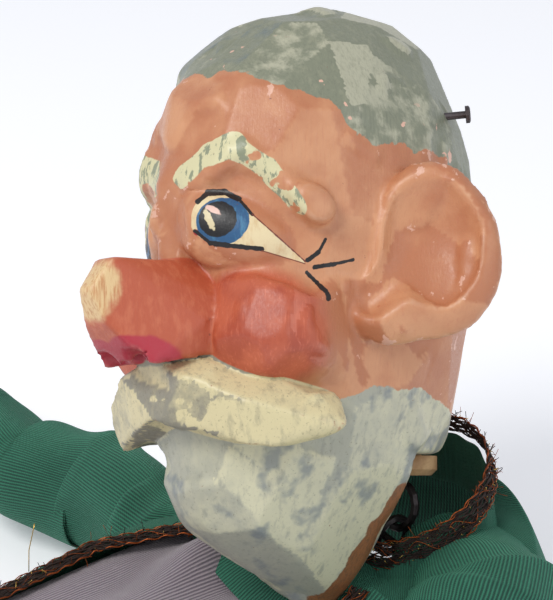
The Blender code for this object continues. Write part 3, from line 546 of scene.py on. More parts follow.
def head_object(origin, turn):
    """The carved head as a mesh, with the fields that its paint follows. turn's columns are left, forward, up."""
    points, quads = carve_head()
    points = relax(points, quads, 1, 0.3)
    shapes = Shapes(*points.T)
    mirrored = Shapes(np.abs(points[:, 0]), points[:, 1], points[:, 2])
    left, forward, height = np.abs(points[:, 0]), points[:, 1], points[:, 2]
    angle = np.degrees(np.arctan2(left, forward))
    u = ((left - EYE[0]) * EYE_ACROSS[0] + (forward - EYE[1]) * EYE_ACROSS[1]) * EYE_SCALE
    v = (height - EYE[2]) * EYE_SCALE
    ahead = (left - EYE[0]) * EYE_OUT[0] + (forward - EYE[1]) * EYE_OUT[1]
    eye_room = np.where(ahead > -16, np.hypot(u - 5.0, (v + 2.0 + 0.3 * (u - 5)) * 1.5), 99.0)
    ear = mirrored.ellipsoid(EAR_MIDDLE, (15, 10, 20), across=EAR_ACROSS)
    moustache = -mirrored.hull(MOUSTACHE) + 0.9
    nose = -shapes.hull(side_points(NOSE, 1) + side_points(NOSE, -1)) + 0.8
    brow = np.full(len(points), -1e3)
    for start, end in zip(BROW, BROW[1:]):
        brow = np.maximum(brow, -mirrored.capsule(start, end, 3.6, 3.2))
    hair = height - hair_line(angle)
    beard = beard_line(angle) - height
    bare = -shapes.capsule((19.0, -13.0, 14.0), (3.0, -3.0, -13.0), 2.5, 5.0)
    cheek = -mirrored.ellipsoid((20.0, 35.0, 50.0), (19.0, 19.0, 15.5))

    spacing = np.full(len(points), FACET)
    spacing = np.where((beard > 0) & (moustache < 0), FACET * 1.25, spacing)
    spacing = np.where(moustache > 0, FACET * 0.65, spacing)
    strength = np.clip((eye_room - 13.0) / 5.0, 0.0, 1.0)
    crease = np.linalg.norm(relax(points, quads, 5) - points, axis=1)
    strength *= 1.0 - 0.75 * ease((crease - 0.22) / 0.25)
    strength *= np.where(ear < 0, 0.5, 1.0) * np.where(nose > 0, 0.0, 1.0) * np.where(moustache > 0, 0.7, 1.0)
    neck_room = (np.hypot(points[:, 0], forward + AXIS_FORWARD) < BORE_RADIUS + 2.5) & (height < BORE_TOP + 2)
    strength[neck_room | ((height < RECESS_TOP + 0.6) & (forward < RECESS_BACK + 0.6))] = 0.0
    points, facet = knife_facets(points, quads, spacing, 1.25, strength, seed=11)
    points = relax(points, quads, 1, 0.15)
    far_side = ease(-points[:, 0] / 14.0) * ease((forward - 5.0) / 30.0) * ease((height - 50.0) / 12.0) \
        * ease((120.0 - height) / 10.0)
    points[:, 1] -= FACE_SKEW * far_side

    neighbours = relax(points, quads, 3)
    normals = vertex_normals(points, quads)
    edge = np.sum((points - neighbours) * normals, axis=1)
    rng = np.random.default_rng(5)
    tone = rng.random(len(points) + 1)[facet.astype(int)]

    world = [origin + turn @ Vector(((p[0]) * MM, p[1] * MM, p[2] * MM)) for p in points]
    head = mesh_object("carved_head", world, quads, head_paint(), smooth=True)
    mesh = head.data
    vector_attribute(mesh, "local", points)
    vector_attribute(mesh, "eye", np.stack([u, v, ahead], axis=1))
    for name, values in (("hair", hair), ("beard", beard), ("moustache", moustache), ("nose", nose),
                         ("brow", brow), ("cheek", cheek), ("edge", edge), ("tone", tone), ("ear", -ear), ("bare", bare),
                         ("tip", np.linalg.norm(points - np.array(NOSE_TIP), axis=1)),
                         ("nostril", np.linalg.norm((np.stack([left, forward, height], 1) - np.array(NOSTRIL))
                                                    * (0.8, 0.6, 1.2), axis=1))):
        float_attribute(mesh, name, values)
    return head


# ---------------------------------------------------------------- paint
def srgb(red, green, blue):
    """Linear colour from 0-255 display values."""
    return tuple(((c / 255 + 0.055) / 1.055) ** 2.4 if c > 10 else c / 255 / 12.92
                 for c in (red, green, blue))


FLESH, FLESH_DEEP, FLESH_PINK = srgb(208, 150, 110), srgb(184, 118, 82), srgb(226, 180, 158)
CHEEK, CHEEK_DEEP = srgb(188, 88, 58), srgb(168, 68, 44)
CRIMSON, WORN_WOOD = srgb(176, 48, 62), srgb(222, 190, 140)
HAIR, HAIR_BLUE, HAIR_CREAM = srgb(128, 132, 112), srgb(104, 116, 116), srgb(190, 188, 164)
BROW_CREAM, BROW_OLIVE = srgb(212, 206, 164), srgb(140, 146, 120)
MOUSTACHE_CREAM, MOUSTACHE_GREY = srgb(214, 202, 158), srgb(142, 138, 122)
BEARD, BEARD_BLUE, BEARD_CREAM = srgb(168, 168, 152), srgb(112, 122, 130), srgb(206, 202, 172)
BARE_BROWN = srgb(150, 98, 62)
SCLERA, IRIS, IRIS_LIGHT, BLACK = srgb(228, 210, 168), srgb(38, 86, 128), srgb(70, 130, 165), srgb(14, 14, 18)


# lids and brush strokes on the eye's plane, (u, v); a stroke is start, end, half width
UPPER_LID = ((-8, -1), (-6.5, 5.2), (-3, 7.8), (1, 7.2), (7.6, 1.6), (20.2, -9.8))
LOWER_LID = ((-8, -1), (-6, -3.6), (-3, -5.3), (2, -6.2), (10, -7.6), (20.2, -10.3))
STROKES = [
    ((-6.4, 5.3), (-3.9, 7.7), 0.75), ((-3.9, 7.7), (0.2, 7.7), 0.95), ((0.2, 7.7), (4.0, 5.7), 0.75),
    ((4.0, 5.7), (7.7, 1.4), 0.40), ((-7.0, -2.2), (-3.0, -5.4), 0.42), ((-3.0, -5.4), (2.0, -6.3), 0.62),
    ((2.0, -6.3), (10.0, -7.2), 0.55), ((20.9, -9.6), (23.6, -7.5), 0.55), ((23.6, -7.5), (25.2, -4.2), 0.35),
    ((22.7, -11.2), (27.5, -10.3), 0.55), ((27.5, -10.3), (32.0, -9.0), 0.40),
    ((21.0, -12.3), (23.6, -14.8), 0.42), ((23.6, -14.8), (25.8, -19.6), 0.48),
]


def head_paint():
    s = Shader("head_paint", roughness=0.42)
    local = s.attribute("local", "Vector")
    eye = s.attribute("eye", "Vector")
    tone, edge = s.attribute("tone"), s.attribute("edge")
    grain = s.noise(local, 1.6, 4.0, 0.6, stretch=(1, 1, 0.08), seed=3)
    fine = s.noise(local, 1.3, 5.0, 0.7, seed=7)
    patch = s.noise(local, 0.11, 3.0, 0.55, seed=11)
    patch2 = s.noise(local, 0.2, 4.0, 0.6, seed=23)
    ragged = s.times(s.minus(s.noise(local, 0.16, 4.0, 0.55, seed=31), 0.5), 8.0)
    brush = s.noise(local, 0.5, 4.0, 0.6, stretch=(1, 1, 0.35), seed=41)

    # flesh, with deeper hollows, pink undercoat where cuts are worn, and fine vertical grain
    color = s.mix(s.ramp(s.plus(patch, s.times(tone, 0.5)), 0.40, 1.0), FLESH, FLESH_DEEP)
    pink = s.ramp(s.plus(patch2, s.plus(s.times(edge, 0.5), s.times(tone, 0.12))),
                  0.74, 0.77)
    color = s.mix(s.times(pink, 0.8), color, FLESH_PINK)
    color = s.mix(s.ramp(grain, 0.52, 0.75, 0.0, 0.30), color, srgb(186, 112, 84))

    # cheeks, then the nose
    cheek = s.plus(s.attribute("cheek"), s.times(ragged, 0.35))
    red = s.mix(s.ramp(patch, 0.4, 0.65), CHEEK, CHEEK_DEEP)
    red = s.mix(s.ramp(grain, 0.5, 0.8, 0.0, 0.5), red, srgb(226, 128, 98))
    red = s.mix(s.ramp(tone, 0.7, 0.95, 0.0, 0.45), red, srgb(236, 150, 128))
    color = s.mix(s.ramp(cheek, -1.5, 3.0, 0.0, 0.92), color, red)
    nose = s.ramp(s.attribute("nose"), -0.2, 0.25)
    color = s.mix(nose, color,
                  s.mix(s.ramp(brush, 0.45, 0.7, 0.0, 0.6), srgb(184, 88, 58), srgb(202, 114, 80)))
    tip = s.plus(s.attribute("tip"), s.times(ragged, 0.8))
    color = s.mix(s.times(nose, s.ramp(tip, 9.0, 6.5)), color,
                  s.mix(s.ramp(grain, 0.45, 0.7), WORN_WOOD, srgb(196, 140, 92)))
    nostril = s.plus(s.attribute("nostril"), s.times(ragged, 0.25))
    color = s.mix(s.times(nose, s.ramp(nostril, 7.5, 6.6)), color, CRIMSON)

    # hair
    hair = s.plus(s.attribute("hair"), ragged)
    facet_tone = s.plus(s.times(tone, 0.75), s.times(patch2, 0.5))
    hair_color = s.mix(s.ramp(facet_tone, 0.30, 0.50), HAIR_BLUE, HAIR)
    hair_color = s.mix(s.ramp(facet_tone, 0.72, 0.84, 0.0, 0.75), hair_color, HAIR_CREAM)
    hair_color = s.mix(s.ramp(brush, 0.45, 0.75, 0.0, 0.45), hair_color, srgb(156, 156, 132))
    hair_color = s.mix(s.ramp(grain, 0.45, 0.75, 0.0, 0.35), hair_color, srgb(98, 100, 88))
    chips = s.times(s.ramp(s.noise(local, 0.22, 3.0, 0.5, seed=53), 0.66, 0.68), s.ramp(hair, 16.0, 5.0))
    hair_color = s.mix(chips, hair_color, FLESH_PINK)
    color = s.mix(s.ramp(hair, -0.1, 0.25), color, hair_color)

    # brows
    brow = s.plus(s.attribute("brow"), s.times(ragged, 0.22))
    brow_color = s.mix(s.ramp(brush, 0.50, 0.56), BROW_CREAM, BROW_OLIVE)
    worn = s.ramp(s.noise(local, 0.13, 3.0, 0.5, seed=61), 0.60, 0.62)
    color = s.mix(s.times(s.ramp(brow, 0.2, 0.45), s.minus(1.0, worn)), color, brow_color)

    # beard and moustache, worn brown along their sharp edges
    beard = s.plus(s.attribute("beard"), s.times(ragged, 0.6))
    beard_color = s.mix(s.ramp(facet_tone, 0.35, 0.85), BEARD, BEARD_CREAM)
    beard_color = s.mix(s.ramp(patch, 0.54, 0.68, 0.0, 0.7), beard_color, BEARD_BLUE)
    beard_color = s.mix(s.ramp(brush, 0.5, 0.75, 0.0, 0.55), beard_color, srgb(134, 136, 128))
    beard_color = s.mix(s.ramp(fine, 0.58, 0.68, 0.0, 0.5), beard_color, srgb(120, 118, 104))
    worn_edge = s.ramp(s.plus(s.times(edge, 2.6), fine), 0.98, 1.2, 0.0, 0.85)
    beard_color = s.mix(worn_edge, beard_color, BARE_BROWN)
    bare = s.plus(s.attribute("bare"), s.times(ragged, 0.7))
    beard_color = s.mix(s.ramp(bare, 0.0, 0.5), beard_color,
                        s.mix(s.ramp(grain, 0.4, 0.7), BARE_BROWN, srgb(120, 84, 58)))
    color = s.mix(s.ramp(beard, -0.1, 0.3), color, beard_color)
    wing_color = s.mix(s.ramp(facet_tone, 0.55, 0.80), MOUSTACHE_CREAM, MOUSTACHE_GREY)
    wing_color = s.mix(s.ramp(brush, 0.48, 0.7, 0.0, 0.6), wing_color, srgb(168, 160, 130))
    wing_color = s.mix(s.ramp(fine, 0.56, 0.68, 0.0, 0.5), wing_color, srgb(120, 112, 92))
    wing_color = s.mix(worn_edge, wing_color, srgb(158, 104, 70))
    color = s.mix(s.ramp(s.attribute("moustache"), -0.1, 0.2), color, wing_color)

    # eyes
    wobble = s.times(s.minus(s.noise(local, 0.9, 2.0, 0.5, seed=71), 0.5), 1.0)
    split = s.node("ShaderNodeSeparateXYZ")
    s.put(split.inputs[0], eye)
    eye_u, eye_v, depth = split.outputs
    front = s.ramp(depth, -17.0, -16.0)
    above = s.minus(eye_v, curve(s, eye_u, UPPER_LID))
    under = s.minus(eye_v, curve(s, eye_u, LOWER_LID))
    inside = s.times(s.ramp(above, 0.12, -0.12), s.ramp(under, -0.12, 0.12))
    inside = s.times(inside, s.times(front, s.ramp(eye_u, -8.0, -7.8)))
    inside = s.times(inside, s.ramp(eye_u, 20.3, 20.1))
    white = s.mix(s.ramp(brush, 0.45, 0.7), SCLERA, srgb(214, 186, 140))
    color = s.mix(inside, color, white)
    iris = s.ramp(s.disc(eye, (0.2, 0.0), (6.8, 6.1), ragged=s.times(wobble, 0.5)), 0.1, -0.1)
    color = s.mix(s.times(iris, inside), color, s.mix(s.ramp(brush, 0.5, 0.75), IRIS, IRIS_LIGHT))
    pupil = s.ramp(s.disc(eye, (-1.0, 0.5), (4.9, 4.6), ragged=s.times(wobble, 0.7)), 0.1, -0.1)
    color = s.mix(s.times(pupil, inside), color, BLACK)
    # painted highlights: a cream and a pinkish glint on the pupil where light reflects
    pupil_glint = s.ramp(s.disc(eye, (-3.1, 0.3), (2.6, 0.95), turn=-1.15, ragged=wobble), 0.15, -0.1)
    color = s.mix(s.times(pupil_glint, inside), color, srgb(214, 200, 160))
    pupil_glint = s.ramp(s.disc(eye, (-2.2, 2.9), (2.2, 0.75), turn=-0.5, ragged=s.times(wobble, 0.6)), 0.15, -0.1)
    color = s.mix(s.times(pupil_glint, inside), color, srgb(228, 190, 176))
    red_dot = s.ramp(s.disc(eye, (-6.6, -2.6), (0.9, 0.6), turn=-0.8), 0.1, -0.1)
    color = s.mix(s.times(red_dot, front), color, srgb(160, 24, 36))
    for start, end, half in STROKES:
        stroke = s.segment(eye, start, end, half, ragged=s.times(wobble, 0.45))
        color = s.mix(s.times(stroke, front), color, BLACK)
    rim = s.segment(eye, (7.6, 1.6), (20.3, -9.9), 0.16, ragged=s.times(wobble, 0.3))
    color = s.mix(s.times(rim, front), color, srgb(110, 44, 34))
    rim = s.segment(eye, (10.0, -7.6), (20.3, -10.4), 0.13)
    color = s.mix(s.times(rim, front), color, srgb(120, 62, 40))

    # convex edges lighter, partly worn paint and partly a painted highlight; dirt in pits; painted shade
    # darkening the hollows
    # painted shade: concave hollows are multiplied towards dark brown where shade falls in them
    hollow_shade = s.ramp(edge, -0.35, -1.1, 0.0, 0.55)
    color = s.mix(hollow_shade, color, srgb(96, 58, 40), "MULTIPLY")
    # painted highlight along convex edges, partly also paint worn there
    color = s.mix(s.ramp(edge, 0.10, 0.34, 0.0, 0.30), color, srgb(236, 206, 176))
    pits = s.ramp(s.noise(local, 0.75, 2.0, 0.5, seed=83), 0.77, 0.79, 0.0, 0.8)
    color = s.mix(pits, color, srgb(120, 56, 34))
    s.put(s.bsdf.inputs["Base Color"], color)

    s.put(s.bsdf.inputs["Roughness"], s.ramp(fine, 0.3, 0.7, 0.34, 0.56))
    s.bsdf.inputs["Coat Weight"].default_value = 0.18
    s.bsdf.inputs["Coat Roughness"].default_value = 0.28
    s.add_bump(grain, 0.08 * MM)
    s.add_bump(fine, 0.08 * MM)
    return s.material


def curve(s, value, points):
    """A height that follows straight pieces between points, as nodes."""
    node = s.node("ShaderNodeFloatCurve")
    low, high = points[0][0], points[-1][0]
    heights = [p[1] for p in points]
    bottom, top = min(heights), max(heights)
    s.put(node.inputs["Value"], s.math("DIVIDE", s.minus(value, low), high - low))
    line = node.mapping.curves[0]
    while len(line.points) > 2:
        line.points.remove(line.points[1])
    scaled = [((x - low) / (high - low), (y - bottom) / (top - bottom)) for x, y in points]
    line.points[0].location, line.points[1].location = scaled[0], scaled[-1]
    for x, y in scaled[1:-1]:
        line.points.new(x, y)
    node.mapping.update()
    return s.plus(s.times(node.outputs[0], top - bottom), bottom)


def joint_axis(name):
    return Vector(unit(JOINTS[name]["axis"]))


head_up, head_forward = joint_axis("neck_turn"), joint_axis("neck_lean")
if head_forward.y > 0:
    head_forward = -head_forward
head_left = head_forward.cross(head_up).normalized()
if head_left.x < 0:
    head_left = -head_left
neck_pivot = Vector(JOINTS["neck_turn"]["pos_m"])
head_turn = Matrix((head_left, head_forward, head_up)).transposed()
axis_foot = neck_pivot + head_forward * AXIS_FORWARD * MM
head = head_object(axis_foot, head_turn)
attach(head, "head")
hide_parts("head")


# ---------------------------------------------------------------- cloth
def cloth_material(name, color, dark, rib_depth, slubs=0.12):
    """Ribbed twill: a rib each RIB_PITCH along the cloth's own U, in millimetres."""
    s = Shader(name, roughness=0.82)
    flat = s.attribute("flat", "Vector")
    split = s.node("ShaderNodeSeparateXYZ")
    s.put(split.inputs[0], flat)
    wander = s.times(s.noise(flat, 0.05, 3.0, 0.5, seed=4), 1.5)
    phase = s.times(s.plus(split.outputs[0], wander), 2 * math.pi / RIB_PITCH)
    rib = s.plus(s.times(s.math("SINE", phase), 0.5), 0.5)
    slant = s.plus(split.outputs[1], s.times(split.outputs[0], 0.6))
    twist = s.plus(s.times(s.math("SINE", s.times(slant, 2 * math.pi / YARN_PITCH)), 0.5), 0.5)
    broad = s.noise(flat, 0.03, 4.0, 0.55, seed=9)
    # painted shade: the grooves between ribs take the darker shaded copy of the colour, mixed with broad random
    # tone
    rib_shade_and_tone = s.plus(s.times(rib, 0.55), s.times(broad, 0.45))
    base = s.mix(s.ramp(rib_shade_and_tone, 0.1, 0.9), dark, color)
    slub = s.noise(flat, 1.4, 3.0, 0.7, stretch=(1, 0.15, 1), seed=14)
    base = s.mix(s.ramp(slub, 0.55, 0.8, 0.0, slubs * 2.5), base, tuple(min(1.0, c * 1.6 + 0.01) for c in color))
    s.put(s.bsdf.inputs["Base Color"], base)
    s.bsdf.inputs["Sheen Weight"].default_value = 0.35
    s.bsdf.inputs["Sheen Roughness"].default_value = 0.45
    s.bsdf.inputs["Sheen Tint"].default_value = (*[min(1.0, c * 3 + 0.1) for c in color], 1.0)
    s.add_bump(s.plus(rib, s.times(twist, 0.25)), rib_depth * MM)
    s.add_bump(s.noise(flat, 0.35, 4.0, 0.6, seed=19), 0.25 * MM)
    return s.material


GREEN = cloth_material("green_twill_cloth", srgb(50, 124, 98), srgb(14, 56, 46), 0.32)
LAVENDER = cloth_material("lavender_twill_cloth", srgb(176, 164, 172), srgb(112, 102, 114), 0.26)
TROUSER = cloth_material("trouser_twill_cloth", srgb(88, 74, 62), srgb(44, 36, 32), 0.26)


def smooth_noise(seed, size, rows):
    """Smooth random folds: a few waves with random direction and phase, as a function of (u, v) in 0..1."""
    rng = np.random.default_rng(seed)
    waves = [(rng.uniform(0.6, size), rng.uniform(-rows, rows), rng.uniform(0, 2 * math.pi),
              rng.uniform(0.4, 1.0))
             for _ in range(6)]

    def height(u, v):
        total = 0.0
        for a, b, phase, weight in waves:
            total = total + weight * np.sin(2 * math.pi * (a * u + b * v) + phase)
        return total / sum(w[3] for w in waves)
    return height


def grid_cloth(name, point, columns, rows, width, length, material, body, closed=False, thick=0.7):
    """A cloth from a function of (u, v) in 0..1 to millimetres; width and length scale its ribs along u and v."""
    points, flat, faces = [], [], []
    for j in range(rows + 1):
        for i in range(columns + (0 if closed else 1)):
            u, v = i / columns, j / rows
            points.append(np.array(point(u, v)) * MM)
            flat.append((u * width, v * length, 0.0))
    across = columns if closed else columns + 1
    for j in range(rows):
        for i in range(columns):
            a, b = j * across + i, j * across + (i + 1) % across
            faces.append((a, b, b + across, a + across))
    cloth = mesh_object(name, points, faces, material)
    vector_attribute(cloth.data, "flat", flat)
    solid = cloth.modifiers.new("thickness", "SOLIDIFY")
    solid.thickness = thick * MM
    solid.offset = 0.0
    smooth = cloth.modifiers.new("smooth", "SUBSURF")
    smooth.levels = smooth.render_levels = 1
    if body:
        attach(cloth, body)
    return cloth


def joint_spot(name):
    return np.array(JOINTS[name]["pos_m"]) / MM


def box_mm(*nodes):
    corners = [np.array(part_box(node)) / MM for node in nodes]
    return np.min([c[0] for c in corners], axis=0), np.max([c[1] for c in corners], axis=0)


CLOTH_LOWEST = -2.1          # the cloth's middle surface goes no lower, in mm


def rest_on_floor(point):
    """Cloth that would go through the floor lies on it."""
    return np.array((point[0], point[1], max(point[2], CLOTH_LOWEST)))


def tube_cloth(name, spine, radii, columns, rows, material, body, seed, fold=1.6, gathers=10, up=(0, 0, 1)):
    """A sleeve or trouser leg round a spine of points, with folds across it and gathers at its ends."""
    spine = [np.array(p, dtype=float) for p in spine]
    lengths = np.concatenate([[0], np.cumsum([np.linalg.norm(b - a) for a, b in zip(spine, spine[1:])])])
    wrinkle = smooth_noise(seed, 3.0, 6.0)
    total = lengths[-1]

    def point(u, v):
        at = v * total
        n = min(np.searchsorted(lengths, at, side="right") - 1, len(spine) - 2)
        share = (at - lengths[n]) / (lengths[n + 1] - lengths[n])
        share = share * share * (3 - 2 * share)
        center = spine[n] + (spine[n + 1] - spine[n]) * share
        way = unit(spine[min(n + 1, len(spine) - 1)] - spine[n])
        side = unit(np.cross(way, up))
        top = np.cross(side, way)
        radius = np.interp(v, np.linspace(0, 1, len(radii)), [r[0] for r in radii])
        high = np.interp(v, np.linspace(0, 1, len(radii)), [r[1] for r in radii])
        angle = 2 * math.pi * u
        ripple = fold * wrinkle(u, v) + 0.55 * fold * math.sin(angle * 2 + 9 * v + seed) \
            + 0.5 * math.sin(gathers * angle) * (math.exp(-v / 0.07) + math.exp(-(1 - v) / 0.07))
        radius, high = radius + ripple, high + ripple * 0.8
        return rest_on_floor(center + side * math.cos(angle) * radius + top * math.sin(angle) * high)

    around = 2 * math.pi * np.mean([(r[0] + r[1]) / 2 for r in radii])
    cloth = grid_cloth(name, point, columns, rows, around, total, material, body, closed=True)
    return cloth, total


def declare(cloth, length, held, rests_on, slot, *nodes):
    """Hides the CAD nodes that a cloth stands for."""
    if nodes:
        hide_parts(*nodes)


# each sleeve goes from the shoulder over the elbow to the cuff; a puffed sleeve head joins it to the jacket
SLEEVES = {
    "right": dict(puff=[(-44, 36, 20), (-58, 38, 19)], puff_radii=[(12, 12), (15, 15), (16, 15.5), (17, 16)],
                  offset=(0, 3.5, 0.5), elbow=(0, -4, -1.0), seed=3,
                  radii=[(15, 14.5), (16, 15.5), (15, 14), (13, 12.5), (10.5, 10)]),
    "left": dict(puff=[(8, 62, 30), (34, 50, 30)], puff_radii=[(15, 15), (23, 22), (20, 19), (15.5, 15)],
                 offset=(0, 2, 2), elbow=(0, 0, 0), seed=8,
                 radii=[(13, 13), (16, 15.5), (14, 13.5), (13.5, 13), (10.5, 10)]),
}
for side, look in SLEEVES.items():
    shoulder = joint_spot("shoulder_spread_" + side)
    elbow, wrist = joint_spot("elbow_" + side), joint_spot("wrist_" + side)
    upper, arm = unit(elbow - shoulder), unit(wrist - elbow)
    offset = np.array(look["offset"])
    end = wrist - arm * 7.0
    spine = [shoulder + upper * 4 + offset, shoulder + upper * 38 + offset, elbow + np.array(look["elbow"]),
             (elbow + end) / 2, end]
    sleeve, length = tube_cloth("sleeve_" + side, spine, look["radii"], 72, 100, GREEN, None, look["seed"],
                                        fold=2.6)
    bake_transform(sleeve)
    declare(sleeve, length, "gathered", ["upper_arm_" + side, "forearm_" + side], "green_twill",
            "upper_sleeve_" + side, "lower_sleeve_" + side, "cuff_" + side)
    puff_spine = look["puff"] + [shoulder + offset, shoulder + upper * 12 + offset]
    puff, length = tube_cloth("sleeve_head_" + side, puff_spine, look["puff_radii"], 72, 50, GREEN, "torso",
                                      look["seed"] + 5, fold=2.6)
    declare(puff, length, "gathered", ["chest_block"], "green_twill")

# trousers: each leg from the hip over the knee to the boot
for side, s in (("left", 1), ("right", -1)):
    hip, knee = joint_spot("hip_" + side), joint_spot("knee_" + side)
    low, high = box_mm("shin_trouser_" + side)
    down = np.array((0.0, -1.0, 0.0))
    spine = [hip + down * 6, hip + down * 45, knee - down * 10, knee + down * 12,
             np.array((knee[0], low[1] + 2, knee[2]))]
    radii = [(13.5, 13), (14.5, 13.5), (13, 12.5), (13.5, 13), (12.5, 12), (12.5, 12)]
    leg, length = tube_cloth("trouser_leg_" + side, spine, radii, 48, 90, TROUSER, None, 20 + s, fold=1.2)
    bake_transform(leg)
    declare(leg, length, "gathered", ["thigh_" + side, "shin_" + side], "trouser_cloth",
            "thigh_trouser_" + side, "shin_trouser_" + side)

SEAT_LENGTH = 32.0           # from the waistband to over the hip joints
low, high = box_mm("trouser_seat")
seat_half, seat_mid, seat_deep = (high[0] - low[0]) / 2, (high[2] + low[2]) / 2, (high[2] - low[2]) / 2
seat_folds = smooth_noise(33, 3.0, 2.0)


def seat_point(u, v):
    angle = 2 * math.pi * u
    c, s = math.cos(angle), math.sin(angle)
    puff = 1.0 + 0.05 * math.sin(math.pi * v) + 0.03 * seat_folds(u, v)
    return rest_on_floor((math.copysign(abs(c) ** 0.75, c) * seat_half * puff, high[1] - SEAT_LENGTH * v,
                          seat_mid + math.copysign(abs(s) ** 0.8, s) * seat_deep * puff))


seat = grid_cloth("trouser_seat_cloth", seat_point, 72, 24, 140.0, 26.0, TROUSER, "pelvis", closed=True)
declare(seat, SEAT_LENGTH, "stretched", ["pelvis_block"], "trouser_cloth", "trouser_seat")

# jacket: one wrap from the right front edge, under the back, to the left front edge
HEM, YOKE_EDGE = -82.0, 30.0
jacket_folds = smooth_noise(41, 2.0, 3.0)


def jacket_half(v):
    """Half width, and the heights of the front edges, along the jacket from hem to shoulder."""
    return np.interp(v, (0, 0.5, 0.8, 1.0), (49, 52, 55, 52))


def front_edge(v, s):
    """The jacket's open front edges."""
    if s < 0:
        x = np.interp(v, (0, 0.35, 0.62, 0.80, 1.0), (-44, -47, -50, -41, -24))
        height = np.interp(v, (0, 0.6, 0.8, 1), (30.5, 31.5, 34.0, 35.0))
        return np.array((x, HEM + (YOKE_EDGE - HEM) * v, height))
    x = np.interp(v, (0, 0.5, 0.8, 1.0), (34, 31, 25, 14))
    return np.array((x, HEM + (YOKE_EDGE - HEM) * v, np.interp(v, (0, 0.7, 1), (31.0, 34.0, 40.0))))


def jacket_point(u, v):
    half = jacket_half(v)
    right, left = front_edge(v, -1), front_edge(v, 1)
    ripple = jacket_folds(u, v) * 1.3
    if u < 0.16:
        t = math.sin(u / 0.16 * math.pi / 2)
        p = right + (np.array((-half - 3, right[1], 17)) - right) * t
        p[2] = 17 + (right[2] - 17) * max(0.0, math.cos(u / 0.16 * math.pi / 2)) ** 0.7
    elif u < 0.26:
        t = (u - 0.16) / 0.10 * math.pi / 2
        p = np.array((-half - 3 * math.cos(t), right[1], 17 - 16.5 * math.sin(t) ** 0.8))
        p[0] = -half + (half * 0.16) * (1 - math.cos(t)) - 3 * math.cos(t)
    elif u < 0.74:
        t = (u - 0.26) / 0.48
        p = np.array(((-0.84 + 1.68 * t) * half, right[1], 0.5))
        ripple = abs(ripple) * 0.5
    elif u < 0.84:
        t = (0.84 - u) / 0.10 * math.pi / 2
        p = np.array((half - (half * 0.16) * (1 - math.cos(t)) + 3 * math.cos(t), right[1],
                      17 - 16.5 * math.sin(t) ** 0.8))
    else:
        w = (1 - u) / 0.16
        t = math.sin(w * math.pi / 2)
        p = left + (np.array((half + 3, left[1], 17)) - left) * t
        p[2] = 17 + (left[2] - 17) * max(0.0, math.cos(w * math.pi / 2)) ** 0.7
    p[2] += ripple * (1.0 if p[2] > 5 else 0.3)
    return rest_on_floor(p)


jacket = grid_cloth("jacket_cloth", jacket_point, 150, 70, 250.0, YOKE_EDGE - HEM, GREEN, "torso")
declare(jacket, YOKE_EDGE - HEM, "draped", ["chest_block"], "green_twill", "jacket_body")

# yoke: gathered round the neck under the tinsel collar, puffed over both shoulders
COLLAR_MIDDLE, COLLAR_RADIUS, COLLAR_RISE = np.array((-4.0, 56.0, 48.0)), 20.5, 0.42
yoke_folds, yoke_fine = smooth_noise(57, 4.0, 1.5), smooth_noise(58, 9.0, 2.0)


def collar_point(angle, radius=COLLAR_RADIUS, lift=0.0):
    x, y = math.cos(angle) * radius, math.sin(angle) * radius
    return COLLAR_MIDDLE + np.array((x, y, COLLAR_RISE * y + lift))


def yoke_point(u, v):
    angle = 2 * math.pi * u
    inner = collar_point(angle)
    reach = 58.0 if math.sin(angle) > 0 else 26.0
    outer = np.array((math.cos(angle) * 61.0, 32.0 + math.sin(angle) * reach, 2.0))
    if math.sin(angle) < 0:
        outer[2] = 2.0 + 30.0 * min(1.0, -math.sin(angle) * 2.2) ** 0.8
    p = inner + (outer - inner) * v
    front = max(0.0, -math.sin(angle))
    behind = max(0.0, math.sin(angle))
    arch = np.interp(v, (0, 0.12, 0.3, 0.55, 0.8, 1.0), (0, -5.0, 0.5, 8.0, 9.0, 0.0)) \
        * (1 - 0.75 * front + 0.9 * behind)
    ripple = (3.2 * yoke_folds(u, v) + 1.2 * math.sin(15 * angle) * math.exp(-v / 0.12)
              + 1.6 * yoke_fine(u, v)) * math.sin(math.pi * min(1, v + 0.08)) * (1 - 0.5 * front)
    p[2] += arch + ripple
    p[:2] += unit(outer - inner)[:2] * ripple * 0.5
    return rest_on_floor(p)


yoke = grid_cloth("jacket_yoke", yoke_point, 200, 60, 260.0, 58.0, GREEN, "torso", closed=True)
declare(yoke, 58.0, "gathered", ["chest_block"], "green_twill")
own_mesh(yoke)

# lavender shirt front, with folds that run down from a bump under the beard
bib_folds = smooth_noise(71, 2.0, 1.2)


def bib_point(u, v):
    x = -49.0 + 82.0 * u
    y = HEM - 2.0 + (38.0 - HEM) * v
    bump = 5.5 * math.exp(-((x + 31) / 7.0) ** 2 - ((y - 9) / 13.0) ** 2)
    ridge = 2.2 * math.sin(0.30 * (x + 31) + 0.03 * y) * math.exp(-((x + 24) / 24.0) ** 2) \
        * np.interp(y, (-60, 10), (0.3, 1))
    edge = -3.0 * (abs(2 * u - 1) ** 6)
    return np.array((x, y, 30.5 + bump + ridge * 0.9 + edge + 0.9 * bib_folds(u, v)))


bib = grid_cloth("shirt_front", bib_point, 110, 110, 82.0, 120.0, LAVENDER, "torso")
declare(bib, 120.0, "draped", ["chest_block"], "lavender_twill", "bib")


# ---------------------------------------------------------------- tinsel braid
def plain_material(name, color, roughness, metallic=0.0, bump=0.0):
    s = Shader(name, roughness, metallic)
    spot = s.node("ShaderNodeTexCoord").outputs["Object"]
    tint = s.mix(s.ramp(s.noise(spot, 260.0, 4.0, 0.6), 0.35, 0.7), color, tuple(c * 0.55 for c in color))
    s.put(s.bsdf.inputs["Base Color"], tint)
    if bump:
        s.add_bump(s.noise(spot, 700.0, 3.0, 0.6), bump * MM)
    return s.material


